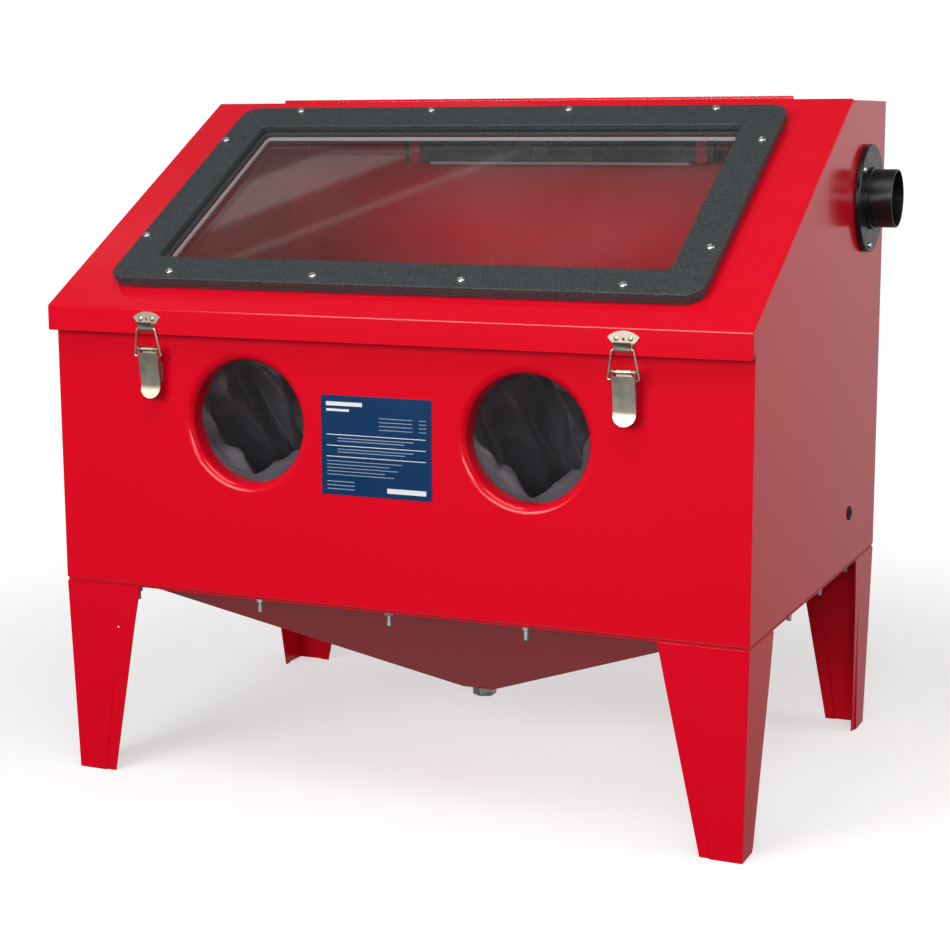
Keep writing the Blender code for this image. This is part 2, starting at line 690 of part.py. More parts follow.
def window():
    """Frame in two layers, glass with its seal, and the steel retainer under it, all in the lid's own plane."""
    half, low, high, border = FRAME_HALF_WIDTH, FRAME_LOW, FRAME_HIGH, FRAME_BORDER
    ledge = 0.0045
    inset = 0.0015
    base = 0.0050
    sight = rounded_rectangle((-half + border, low + border), (half - border, high - border), 0.008)
    narrow = rounded_rectangle(
        (-half + border + ledge, low + border + ledge), (half - border - ledge, high - border - ledge), 0.006
    )
    outer = rounded_rectangle((-half, low), (half, high), 0.020)
    inner_outer = rounded_rectangle((-half + inset, low + inset), (half - inset, high - inset), 0.0185)
    upper = FRAME_THICKNESS - base - 2 * GAP
    plate("window_frame", [outer, sight], upper, BLACK_TEXTURED, (0, 0, FRAME_THICKNESS - upper / 2), parent=LID_PLANE)
    plate(
        "window_frame_base", [inner_outer, narrow], base, BLACK_TEXTURED, (0, 0, GAP + base / 2), parent=LID_PLANE
    )
    under = -SHEET - GAP
    seal = 0.0012
    glass = 0.0040
    glass_half, glass_low, glass_high = 0.3260, 0.0700, 0.3910
    pane = rectangle((-glass_half, glass_low), (glass_half, glass_high))
    lip = rounded_rectangle(
        (-half + border + ledge + 0.001, low + border + ledge + 0.001),
        (half - border - ledge - 0.001, high - border - ledge - 0.001),
        0.006,
    )
    plate("glass_seal", [pane, lip], seal, RUBBER, (0, 0, under - seal / 2), parent=LID_PLANE)
    plate("window_glass", [pane], glass, GLASS, (0, 0, under - seal - GAP - glass / 2), parent=LID_PLANE)
    hole = plate("lid_window_hole", [lip], 0.02, None, parent=LID_PLANE, cutter=True)
    boolean(bpy.data.objects["lid"], hole)
    tray = under - seal - 2 * GAP - glass
    strip = 0.0015
    keep = rounded_rectangle((-half + 0.004, low + 0.004), (half - 0.004, high - 0.004), 0.010)
    view = rounded_rectangle((-glass_half + 0.012, glass_low + 0.012), (glass_half - 0.012, glass_high - 0.012), 0.006)
    plate("glass_retainer", [keep, view], strip, RED, (0, 0, tray - strip / 2), parent=LID_PLANE)
    foam = SEAT_DROP - SHEET - 2 * GAP
    rim = rounded_rectangle((-0.4110, 0.0190), (0.4110, 0.4530), 0.010, 3)
    rim_hole = rounded_rectangle((-0.4000, 0.0300), (0.4000, 0.4420), 0.006, 3)
    plate("lid_seal", [rim, rim_hole], foam, RUBBER, (0, 0, under - foam / 2), parent=LID_PLANE)


def hinge():
    """Piano hinge: two leaves with knuckles that alternate along one pin."""
    along = Vector((0, math.cos(SLOPE), math.sin(SLOPE)))
    normal = Vector((0, -math.sin(SLOPE), math.cos(SLOPE)))
    rear_edge = Vector((HINGE_X, *LID_REAR))
    axis = rear_edge + (HINGE_RADIUS + GAP) * along
    axis -= normal * (axis.z - LID_REAR[1]) / normal.z
    leaf = 0.0012
    bore = cylinder(
        "hinge_bore", HINGE_BORE_RADIUS, 2.1 * HINGE_HALF_LENGTH, None, axis, ALONG_X, 16, cutter=True
    )
    strip = (HINGE_RADIUS + 0.0006, 0.0290)
    body = plate("hinge_body_leaf", [leaf_outline(0, strip)], leaf, RED, axis + Vector((0, 0, -0.0015)))
    strip = (-HINGE_RADIUS - 0.0006, -0.0085 - (axis - rear_edge).dot(normal))
    tilt = (SLOPE + math.pi / 2, 0, 0)
    flange = plate("hinge_lid_leaf", [leaf_outline(1, strip)], leaf, RED, axis - 0.0024 * along, tilt)
    for first, made in enumerate((body, flange)):
        boolean(made, barrels(first, made.name, axis), "UNION")
        boolean(made, bore)
    cylinder("hinge_pin", HINGE_PIN_RADIUS, 2 * HINGE_HALF_LENGTH, STEEL, axis, ALONG_X, 16)


def own_knuckles(first):
    """The start and end along X of every second knuckle."""
    pitch = 2 * HINGE_HALF_LENGTH / KNUCKLES
    starts = [-HINGE_HALF_LENGTH + i * pitch for i in range(first, KNUCKLES, 2)]
    return [(start + GAP / 2, start + pitch - GAP / 2) for start in starts]


def leaf_outline(first, strip):
    """A strip along the whole hinge, with a tongue out to each of its own knuckles."""
    span = HINGE_HALF_LENGTH
    near, far = strip
    inward = math.copysign(0.0008, near)
    outline = [(-span, near), (-span, far), (span, far), (span, near)]
    for start, end in reversed(own_knuckles(first)):
        start, end = start + 0.0010, end - 0.0010
        outline += [(end, near), (end, inward), (start, inward), (start, near)]
    return outline


def barrels(first, name, axis):
    """The leaf's own knuckles, as one cutter."""
    bm = bmesh.new()
    for start, end in own_knuckles(first):
        spin = Matrix.Translation(((start + end) / 2, 0, 0)) @ Matrix.Rotation(math.pi / 2, 4, "Y")
        bmesh.ops.create_cone(
            bm,
            cap_ends=True,
            segments=16,
            radius1=HINGE_RADIUS,
            radius2=HINGE_RADIUS,
            depth=end - start,
            matrix=spin,
        )
    return place(name + "_barrels", mesh_from(bm, name), None, axis, cutter=True)


# ---------------------------------------------------------------- latches


def latch(side):
    """Toggle latch: keeper and wire bail on the lid, base, pin and lever on the front panel."""
    word = "right" if side > 0 else "left"
    x = side * LATCH_X
    keeper(word, x)
    bail(word, x)
    lever(word, x)
    latch_base(word, x)
    pin_y, pin_z = LATCH_PIN
    head, neck = LEVER_HALF_WIDTH + 0.0011, LEVER_HALF_WIDTH + 0.0003
    pin = cylinder(f"{word}_latch_pin", 0.0014, 2 * head, ZINC, (x, pin_y, pin_z), ALONG_X, 12)
    for end in (-1, 1):
        rivet = cylinder(
            f"{word}_latch_rivet_{end}",
            0.0024,
            head - neck,
            None,
            (x + end * (head + neck) / 2, pin_y, pin_z),
            ALONG_X,
            12,
            cutter=True,
        )
        boolean(pin, rivet, "UNION")


def keeper(word, x):
    """Fan-shaped plate on the lid's lip, whose lower end curls out and up into a hook."""
    face = -LID_OVERHANG - GAP - LEVER_SHEET
    bar_y, bar_z = LATCH_BAR
    half = 0.0095
    waist_z = 0.5415
    tip, tip_z = 0.0175, 0.5490
    top_z = 0.5555
    rise = top_z - tip_z
    radius = (tip * tip + rise * rise) / (2 * rise)
    spread = math.degrees(math.asin(tip / radius))
    crown = arc((0, top_z - radius), radius, 90 - spread, 90 + spread, 8)
    fan = [(half, waist_z), (0.0115, waist_z + 0.0004), *crown, (-0.0115, waist_z + 0.0004), (-half, waist_z)]
    path = [(face, waist_z), (face, bar_z)]
    outer = abs(face - bar_y)
    path += arc((bar_y, bar_z), outer, 0, -180, 6)[1:]
    path += [(bar_y - outer, 0.5405), (bar_y - outer - 0.0022, 0.5443)]
    faces = [[(x + u, face, z) for u, z in fan]]
    for a, b in zip(path, path[1:]):
        faces.append([(x - half, *a), (x + half, *a), (x + half, *b), (x - half, *b)])
    made = sheet(f"{word}_latch_keeper", faces, LEVER_SHEET, (0, -1, 0), ZINC)
    hole = cylinder(f"{word}_keeper_hole", 0.0016, 0.01, None, (x, face, 0.5467), OUT_OF_FRONT, 12, cutter=True)
    boolean(made, hole)


def bail(word, x):
    """Wire loop that hangs from the hook, with its two ends bent in beside the lever."""
    bar_y, bar_z = LATCH_BAR
    top, foot = 0.0122, 0.0169
    foot_y, foot_z = -0.0166, 0.5046
    wire = 0.0012
    end = LEVER_HALF_WIDTH + 0.0004
    half = [(top - 0.003, bar_y, bar_z), (top - 0.0008, bar_y, bar_z - 0.0007), (top, bar_y, bar_z - 0.0028)]
    half += [(foot, foot_y - 0.0002, foot_z + 0.0020), (foot - 0.0008, foot_y, foot_z + 0.0003), (end, foot_y, foot_z)]
    points = [(x - u, y, z) for u, y, z in reversed(half)] + [(x + u, y, z) for u, y, z in half]
    rod(f"{word}_latch_bail", points, wire, ZINC)


def lever(word, x):
    """Lever plate with two ears that hold the pin and a rounded thumb tab that turns out a little."""
    pin_y, pin_z = LATCH_PIN
    half = LEVER_HALF_WIDTH
    top = (-0.0177, 0.5085)
    knee = (-0.0125, 0.4720)
    tip = (-0.0165, 0.4568)
    tab = math.hypot(tip[0] - knee[0], tip[1] - knee[1])
    faces = [[(x - half, *top), (x + half, *top), (x + half, *knee), (x - half, *knee)]]

    def on_tab(u, s):
        share = s / tab
        return (x + u, knee[0] + share * (tip[0] - knee[0]), knee[1] + share * (tip[1] - knee[1]))

    straight = 0.0040
    round_end = arc((0, 0), 1.0, 0, 180, 10)
    faces.append(
        [on_tab(half, 0)]
        + [on_tab(half * u, straight + (tab - straight) * s) for u, s in round_end]
        + [on_tab(-half, 0)]
    )
    ear_radius = 0.0029
    share = (0.4990 - top[1]) / (knee[1] - top[1])
    low = (top[0] + share * (knee[0] - top[0]), 0.4990)
    for end in (-1, 1):
        ear = [(x + end * half, *top)]
        ear += [(x + end * half, *point) for point in arc(LATCH_PIN, ear_radius, 160, -30, 6)]
        ear += [(x + end * half, low[0] + 0.0050, low[1] + 0.0015), (x + end * half, *low)]
        faces.append(ear)
    faces[0] = [faces[0][0], faces[0][1], (x + half, *low), faces[0][2], faces[0][3], (x - half, *low)]
    made = sheet(f"{word}_latch_lever", faces, LEVER_SHEET, (0, -1, 0), ZINC)
    hole = cylinder(
        f"{word}_lever_hole", 0.0015, 0.04, None, (x, pin_y, pin_z), ALONG_X, 16, cutter=True
    )
    boolean(made, hole)


def latch_base(word, x):
    """Base plate on the front panel, with a tongue that rises to the barrel round the pin."""
    pin_y, pin_z = LATCH_PIN
    half = 0.0085
    barrel = 0.0026
    face = -GAP - LEVER_SHEET
    path = [(face, 0.4740), (face, 0.4960), (pin_y + barrel - LEVER_SHEET, 0.5080), (pin_y + barrel - LEVER_SHEET, pin_z)]
    faces = [
        [(x - half, *a), (x + half, *a), (x + half, *b), (x - half, *b)] for a, b in zip(path, path[1:])
    ]
    made = sheet(f"{word}_latch_base", faces, LEVER_SHEET, (0, -1, 0), ZINC)
    ring = cylinder(f"{word}_base_barrel", barrel, 2 * half, None, (x, pin_y, pin_z), ALONG_X, 16, cutter=True)
    bore = cylinder(f"{word}_base_bore", 0.0015, 0.04, None, (x, pin_y, pin_z), ALONG_X, 16, cutter=True)
    boolean(made, ring, "UNION")
    boolean(made, bore)


# ---------------------------------------------------------------- fittings


def exhaust_port():
    """Black flange and duct tube on the right side, with its gasket and three screws."""
    start = HALF_WIDTH + GAP
    gasket = 0.0015
    face = start + gasket + GAP
    thick = 0.0050
    bore = PORT_TUBE_RADIUS - 0.0022
    end = PORT_END_X
    turned(
        "port_gasket",
        [(PORT_FLANGE_RADIUS - 0.001, start + gasket), (PORT_FLANGE_RADIUS - 0.001, start), (bore, start), (bore, start + gasket)],
        RUBBER,
        (0, PORT_Y, PORT_Z),
        ALONG_X,
    )
    profile = [
        (bore, end),
        (PORT_TUBE_RADIUS - 0.0006, end),
        (PORT_TUBE_RADIUS, end - 0.0006),
        (PORT_TUBE_RADIUS, face + thick + 0.0040),
        (PORT_TUBE_RADIUS + 0.0025, face + thick + 0.0030),
        (PORT_TUBE_RADIUS + 0.0025, face + thick),
        (PORT_FLANGE_RADIUS - 0.0010, face + thick),
        (PORT_FLANGE_RADIUS, face + thick - 0.0010),
        (PORT_FLANGE_RADIUS, face),
        (bore, face),
    ]
    port = turned("exhaust_port", profile, BLACK_PLASTIC, (0, PORT_Y, PORT_Z), ALONG_X)
    for i, angle in enumerate((142.5, 262.5, 22.5)):
        y = PORT_Y + PORT_SCREW_RADIUS * math.cos(math.radians(angle))
        z = PORT_Z + PORT_SCREW_RADIUS * math.sin(math.radians(angle))
        hole = cylinder(f"port_screw_hole_{i + 1}", 0.0022, 0.02, None, (face, y, z), ALONG_X, 12, cutter=True)
        boolean(port, hole)
        head = 0.0022
        screw = cylinder(
            f"port_screw_{i + 1}", 0.0038, head, ZINC, (face + thick + GAP + head / 2, y, z), ALONG_X, 12
        )
        shank = cylinder(
            f"port_screw_shank_{i + 1}", 0.0018, thick, None, (face + thick / 2 + 0.0010, y, z), ALONG_X, 12, cutter=True
        )
        boolean(screw, shank, "UNION")


def inlet_grommet():
    """Rubber grommet in the air hose hole, low on the right side."""
    outer, hole, bore = 0.0086, 0.0067, 0.0048
    start = HALF_WIDTH
    profile = [
        (bore, start + 0.0018),
        (outer - 0.0008, start + 0.0018),
        (outer, start + 0.0010),
        (outer, start + GAP),
        (hole, start + GAP),
        (hole, start - SHEET - GAP),
        (outer, start - SHEET - GAP),
        (outer, start - SHEET - 0.0018),
        (bore, start - SHEET - 0.0018),
    ]
    turned("inlet_grommet", profile, RUBBER, (0, INLET_Y, INLET_Z), ALONG_X, 20)


def lamp():
    """Lamp bar under the top. Two strap brackets in front of its ends hold it."""
    y = 0.5080
    bolt_z = 0.7190
    strap_x, strap_half, strap = 0.1990, 0.0080, 0.0020
    fold = BODY_TOP - SHEET - GAP - strap
    for side, word in ((-1, "left"), (1, "right")):
        x = side * strap_x
        end = arc((0, bolt_z), strap_half, 0, -180, 8)
        wall = [(x + strap_half, y - strap, fold), *[(x + u, y - strap, z) for u, z in end]]
        wall += [(x - strap_half, y - strap, fold)]
        top = [wall[0], wall[-1], (x - strap_half, y - 0.022, fold), (x + strap_half, y - 0.022, fold)]
        sheet(f"{word}_lamp_bracket", [wall, top], strap, (0, -1, 0), RED)
    front, back = y + GAP, y + 0.0340
    low, high = 0.7135, 0.7440
    body = [(front, low), (back - 0.006, low), (back, low + 0.010), (back - 0.004, high), (front, high)]
    plate("lamp_housing", [body], 0.4300, BLACK_PLASTIC, rotation=SIDE_PLANE)
    under = low - GAP
    lens = [(front + 0.004, under), (back - 0.010, under), (back - 0.013, under - 0.004), (front + 0.007, under - 0.004)]
    plate("lamp_lens", [lens], 0.3600, LENS, rotation=SIDE_PLANE)


def blast_gun():
    """Blast gun on a hook on the right wall, with its nozzle and its trigger."""
    wall = HALF_WIDTH - SHEET - GAP
    x, y, z = wall - 0.0450, 0.1500, 0.4000
    barrel = 0.0120
    gun = cylinder("gun_body", barrel, 0.0900, STEEL, (x, y, z), (math.pi / 2, 0, 0), 20)
    grip = box("gun_grip", (x - 0.010, y + 0.014, z - 0.105), (x + 0.010, y + 0.042, z - 0.004), None, cutter=True)
    guard = box("gun_lug", (x - 0.003, y - 0.020, z - 0.022), (x + 0.003, y - 0.006, z - 0.004), None, cutter=True)
    boolean(gun, grip, "UNION")
    boolean(gun, guard, "UNION")
    tip = 0.0070
    nozzle = [(tip, 0.0500), (0.0100, 0.0440), (0.0100, 0), (0.0035, 0), (0.0035, 0.0500)]
    turned("gun_nozzle", nozzle, STEEL, (x, y - 0.0450 - GAP, z), OUT_OF_FRONT, 20)
    pivot = (y - 0.0130, z - 0.0170)
    ear = 0.0045
    hole = cylinder("trigger_hole", 0.0017, 0.05, None, (x, *pivot), ALONG_X, 16, cutter=True)
    boolean(gun, hole)
    cylinder("trigger_pin", 0.0015, 0.0130, STEEL, (x, *pivot), ALONG_X, 12)
    blade = [
        (pivot[0] - 0.0040, pivot[1] + 0.0010),
        (pivot[0] + 0.0030, pivot[1] + 0.0030),
        (pivot[0] + 0.0050, pivot[1] - 0.0080),
        (pivot[0] + 0.0035, pivot[1] - 0.0640),
        (pivot[0] - 0.0020, pivot[1] - 0.0640),
        (pivot[0] - 0.0040, pivot[1] - 0.0080),
    ]
    trigger = plate("gun_trigger", [blade], 2 * ear + 0.002, BLACK_PLASTIC, (x, 0, 0), SIDE_PLANE)
    slot = box(
        "trigger_slot",
        (x - 0.0033, pivot[0] - 0.02, pivot[1] - 0.0085),
        (x + 0.0033, pivot[0] + 0.02, pivot[1] + 0.02),
        None,
        cutter=True,
    )
    boolean(trigger, slot)
    boolean(trigger, hole)
    wire = 0.0020
    under = z - barrel - GAP - wire
    cradle = [(wall, y - 0.038, under), (x - 0.020, y - 0.038, under), (x - 0.020, y - 0.038, under + 0.020)]
    back = [(x - 0.020, y + 0.004, under + 0.020), (x - 0.020, y + 0.004, under), (wall, y + 0.004, under)]
    rod("gun_hook", cradle + back, wire, ZINC)


def pickup_tube():
    """Tube that draws the media up to the gun. Its collar rests across a slot of the work floor."""
    bore, outer, collar = 0.0070, 0.0090, 0.0180
    low, high = 0.1400, FLOOR_TOP + 0.0400
    seat = FLOOR_TOP + GAP
    profile = [(outer, high), (outer, seat + 0.003), (collar, seat + 0.003), (collar, seat), (outer, seat)]
    profile += [(outer, low), (bore, low), (bore, high)]
    turned("pickup_tube", profile, STEEL, (-0.0900, slot_centre(8), 0), steps=20)


def label_plate():
    box("label_plate", (-0.0730, -0.0008, 0.3598), (0.0610, -GAP, 0.4705), LABEL_BLUE)


for leftover in list(bpy.data.objects):
    bpy.data.objects.remove(leftover, do_unlink=True)
for group in (PARTS, CUTTERS):
    bpy.context.scene.collection.children.link(group)
CUTTERS.hide_render = True

ORIGIN = bpy.data.objects.new("cabinet_origin", None)
ORIGIN.location = (-(LEFT_END + RIGHT_END) / 2, -(FRONT_END + REAR_END) / 2, 0)
PARTS.objects.link(ORIGIN)
LID_PLANE = bpy.data.objects.new("lid_plane", None)
LID_PLANE.location = (0, -LID_OVERHANG, LID_BEND_Z)
LID_PLANE.rotation_euler = (SLOPE, 0, 0)
LID_PLANE.parent = ORIGIN
PARTS.objects.link(LID_PLANE)

front_panel()
for end in (-1, 1):
    side_panel(end)
rear_panel()
top_panel()
hopper()
outlet()
FLOOR_CUTTER = box("floor_cutter", (-0.6, -0.2, -0.02), (0.6, 0.8, 0), None, cutter=True)
for leg_name, leg_x, leg_y in (
    ("front_left", -1, -1),
    ("front_right", 1, -1),
    ("rear_left", -1, 1),
    ("rear_right", 1, 1),
):
    leg(leg_name, leg_x, leg_y, FLOOR_CUTTER)
work_floor()
for end in (-1, 1):
    arm_sleeve(end)
lid()
window()
hinge()
for end in (-1, 1):
    latch(end)
exhaust_port()
inlet_grommet()
lamp()
blast_gun()
pickup_tube()
label_plate()
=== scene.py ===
"""Looks for the sandblast cabinet: camera, light, materials, cloth sleeves and the fittings too fine for the
CAD. Lengths are in metres."""

import json
import math

import bmesh
import bpy
from mathutils import Matrix, Quaternion, Vector, noise

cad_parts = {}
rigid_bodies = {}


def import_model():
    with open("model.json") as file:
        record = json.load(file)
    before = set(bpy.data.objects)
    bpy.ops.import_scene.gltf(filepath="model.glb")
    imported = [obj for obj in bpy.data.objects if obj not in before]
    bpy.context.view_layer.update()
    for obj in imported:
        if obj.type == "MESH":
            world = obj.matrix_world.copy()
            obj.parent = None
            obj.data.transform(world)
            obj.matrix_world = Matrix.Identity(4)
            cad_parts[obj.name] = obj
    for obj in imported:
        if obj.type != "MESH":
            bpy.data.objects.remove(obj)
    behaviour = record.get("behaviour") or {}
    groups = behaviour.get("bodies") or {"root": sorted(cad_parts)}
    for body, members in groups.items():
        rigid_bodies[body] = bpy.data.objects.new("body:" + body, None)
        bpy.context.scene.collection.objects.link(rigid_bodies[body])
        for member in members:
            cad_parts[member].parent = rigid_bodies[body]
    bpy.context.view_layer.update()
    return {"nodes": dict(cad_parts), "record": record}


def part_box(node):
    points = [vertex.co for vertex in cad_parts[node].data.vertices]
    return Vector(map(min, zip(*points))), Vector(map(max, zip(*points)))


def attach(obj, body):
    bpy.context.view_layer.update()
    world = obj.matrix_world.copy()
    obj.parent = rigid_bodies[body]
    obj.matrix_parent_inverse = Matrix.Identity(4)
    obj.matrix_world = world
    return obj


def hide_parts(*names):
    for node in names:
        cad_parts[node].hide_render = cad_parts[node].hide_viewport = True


for leftover in list(bpy.data.objects):
    bpy.data.objects.remove(leftover, do_unlink=True)

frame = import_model()
NODES = frame["nodes"]
SCENE = bpy.context.scene
SCENE.view_settings.view_transform = "Standard"

# The cabinet's own frame: X from its centre plane, Y from the front panel's face, Z from the floor.
PANEL_LOW, PANEL_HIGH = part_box("front_panel")
ORIGIN = Vector(((PANEL_LOW.x + PANEL_HIGH.x) / 2, PANEL_LOW.y, 0))
HALF_WIDTH = (PANEL_HIGH.x - PANEL_LOW.x) / 2
BODY_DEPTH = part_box("rear_panel")[1].y - ORIGIN.y
BODY_BOTTOM = PANEL_LOW.z
BODY_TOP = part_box("top_panel")[1].z
TOP_FRONT_Y = 0.3954
LID_BEND = Vector((0, -0.0160, 0.5586))
LID_REAR = Vector((0, 0.3794, 0.7900))
SLOPE = math.atan2(LID_REAR.z - LID_BEND.z, LID_REAR.y - LID_BEND.y)
LID_NORMAL = Vector((0, -math.sin(SLOPE), math.cos(SLOPE)))
LID_ALONG = Vector((0, math.cos(SLOPE), math.sin(SLOPE)))
SHEET, LEG_SHEET = 0.0015, 0.0020
PANEL_GAP = 0.0003
ARM_X, ARM_Z, ARM_RADIUS = 0.1695, 0.4330, 0.0700
LATCH_X = 0.2843
PORT_SCREWS = [f"port_screw_{number}" for number in (1, 2, 3)]
# How deep a turned piece's foot stands in the face under it.
FOOT = 0.0004


def at(x, y, z):
    """A point of the cabinet's own frame, in the world."""
    return ORIGIN + Vector((x, y, z))


# ---------------------------------------------------------------- camera and light

CAMERA_LENS = 75.34
CAMERA_SHIFT = (-0.0060, -0.0106)
CAMERA_AT = at(0.9596, -1.9091, 0.7622)
AZIMUTH, ELEVATION, ROLL = math.radians(23.780), math.radians(9.737), math.radians(-0.223)
WHITE_GLOW = 1.05
# How bright the surroundings are from straight down, at 0, to straight up, at 1.
SKY = (
    (0.0, 0.60),
    (0.25, 0.12),
    (0.34, 0.40),
    (0.46, 0.75),
    (0.52, 1.0),
    (0.66, 0.8),
    (0.90, 0.22),
    (1.0, 0.2),
)
# Where the window mirrors the middle of the strip lights, and where that middle is.
GLINT = at(-0.2205, 0.2293, 0.6983)
STRIP_MIDDLE = at(-1.669, 1.447, 3.026)
STRIP_ALONG = Vector((0.791, 0.545, 0.279))
STRIP_LENGTH = 1.3


def camera():
    lens = bpy.data.cameras.new("camera")
    lens.lens = CAMERA_LENS
    lens.shift_x, lens.shift_y = CAMERA_SHIFT
    made = bpy.data.objects.new("camera", lens)
    level = math.cos(ELEVATION)
    ahead = Vector((-math.sin(AZIMUTH) * level, math.cos(AZIMUTH) * level, -math.sin(ELEVATION)))
    made.location = CAMERA_AT
    made.rotation_mode = "QUATERNION"
    made.rotation_quaternion = ahead.to_track_quat("-Z", "Y") @ Quaternion((0, 0, 1), ROLL)
    SCENE.collection.objects.link(made)
    SCENE.camera = made


def softbox(name, location, target, size, power):
    """A rectangular studio light that faces its target."""
    light = bpy.data.lights.new(name, "AREA")
    light.shape = "RECTANGLE"
    light.size, light.size_y = size
    light.energy = power
    made = bpy.data.objects.new(name, light)
    made.location = location
    made.rotation_euler = (Vector(target) - Vector(location)).to_track_quat("-Z", "Y").to_euler()
    SCENE.collection.objects.link(made)
    return made


def strip(name, width, power, aside=0.0):
    """A weak strip of light high behind, which the window mirrors as a soft slanting band."""
    along = STRIP_ALONG.normalized()
    across = (STRIP_MIDDLE - GLINT).normalized().cross(along).normalized()
    away = along.cross(across)
    made = softbox(name, STRIP_MIDDLE + aside * across, GLINT, (STRIP_LENGTH, width), power)
    made.rotation_euler = Matrix((along, across, away)).transposed().to_euler()


def world():
    """The light around the cabinet: bright behind it at eye level, dim overhead, below and in front."""
    made = bpy.data.worlds.new("studio")
    SCENE.world = made
    made.use_nodes = True
    nodes, links = made.node_tree.nodes, made.node_tree.links
    glow = nodes["Background"]
    glow.inputs["Color"].default_value = (1, 1, 1, 1)
    direction = nodes.new("ShaderNodeTexCoord")
    split = nodes.new("ShaderNodeSeparateXYZ")
    back = nodes.new("ShaderNodeMapRange")
    back.inputs["From Min"].default_value = -0.45
    back.inputs["From Max"].default_value = 0.90
    back.inputs["To Min"].default_value = 0.10
    back.inputs["To Max"].default_value = 0.64
    height = nodes.new("ShaderNodeMapRange")
    height.inputs["From Min"].default_value = -1.0
    ramp = nodes.new("ShaderNodeValToRGB")
    ramp.color_ramp.elements.remove(ramp.color_ramp.elements[0])
    for i, (place, level) in enumerate(SKY):
        stop = ramp.color_ramp.elements[0] if i == 0 else ramp.color_ramp.elements.new(place)
        stop.position = place
        stop.color = (level, level, level, 1)
    both = nodes.new("ShaderNodeMath")
    both.operation = "MULTIPLY"
    links.new(direction.outputs["Generated"], split.inputs[0])
    links.new(split.outputs["Y"], back.inputs["Value"])
    links.new(split.outputs["Z"], height.inputs["Value"])
    links.new(height.outputs[0], ramp.inputs["Fac"])
    links.new(back.outputs[0], both.inputs[0])
    links.new(ramp.outputs["Color"], both.inputs[1])
    links.new(both.outputs[0], glow.inputs["Strength"])


def floor():
    """A pale floor that brightens into a white surround."""
    mesh = bpy.data.meshes.new("floor")
    reach = 13.0
    corners = [(-reach, -reach, 0), (reach, -reach, 0), (reach, reach, 0), (-reach, reach, 0)]
    mesh.from_pydata(corners, [], [(0, 1, 2, 3)])
    made = bpy.data.objects.new("floor", mesh)
    material = bpy.data.materials.new("floor")
    material.use_nodes = True
    nodes, links = material.node_tree.nodes, material.node_tree.links
    matte = nodes["Principled BSDF"]
    matte.inputs["Base Color"].default_value = (0.62, 0.62, 0.62, 1)
    matte.inputs["Roughness"].default_value = 1.0
    matte.inputs["Specular IOR Level"].default_value = 0.0
    matte.inputs["Emission Color"].default_value = (1, 1, 1, 1)
    matte.inputs["Emission Strength"].default_value = 0.52
    glow = nodes.new("ShaderNodeEmission")
    glow.inputs["Strength"].default_value = WHITE_GLOW
    place = nodes.new("ShaderNodeTexCoord")
    length = nodes.new("ShaderNodeVectorMath")
    length.operation = "LENGTH"
    fade = nodes.new("ShaderNodeMapRange")
    fade.interpolation_type = "SMOOTHSTEP"
    fade.inputs["From Min"].default_value = 0.60
    fade.inputs["From Max"].default_value = 1.65
    mix = nodes.new("ShaderNodeMixShader")
    links.new(place.outputs["Object"], length.inputs[0])
    links.new(length.outputs["Value"], fade.inputs["Value"])
    links.new(fade.outputs[0], mix.inputs[0])
    links.new(matte.outputs[0], mix.inputs[1])
    links.new(glow.outputs[0], mix.inputs[2])
    links.new(mix.outputs[0], nodes["Material Output"].inputs["Surface"])
    mesh.materials.append(material)
    made.visible_glossy = made.visible_diffuse = False
    SCENE.collection.objects.link(made)


def surround():
    """A white shell far around, which the camera sees behind the cabinet and nothing else does."""
    bm = bmesh.new()
    bmesh.ops.create_icosphere(bm, subdivisions=3, radius=12.5)
    mesh = bpy.data.meshes.new("surround")
    bm.to_mesh(mesh)
    bm.free()
    made = bpy.data.objects.new("surround", mesh)
    material = bpy.data.materials.new("surround")
    material.use_nodes = True
    glow = material.node_tree.nodes.new("ShaderNodeEmission")
    glow.inputs["Strength"].default_value = WHITE_GLOW
    output = material.node_tree.nodes["Material Output"]
    material.node_tree.links.new(glow.outputs[0], output.inputs["Surface"])
    mesh.materials.append(material)
    made.visible_glossy = made.visible_diffuse = made.visible_shadow = made.visible_transmission = False
    SCENE.collection.objects.link(made)


def studio():
    camera()
    world()
    softbox("key", (-0.9, -3.5, 1.55), (0, 0, 0.35), (2.2, 1.6), 78)
    softbox("fill", (1.15, -2.9, 1.05), (0, 0, 0.38), (1.0, 0.9), 26)
    softbox("top", (0.3, -1.3, 2.9), (0, 0, 0.4), (2.4, 1.6), 36)
    softbox("side", (3.2, 0.2, 1.5), (0.3, 0, 0.4), (1.8, 1.8), 27)
    strip("strip_wide", 0.085, 0.16)
    strip("strip_narrow", 0.012, 0.022, -0.135)
    floor()
    surround()


# ---------------------------------------------------------------- materials


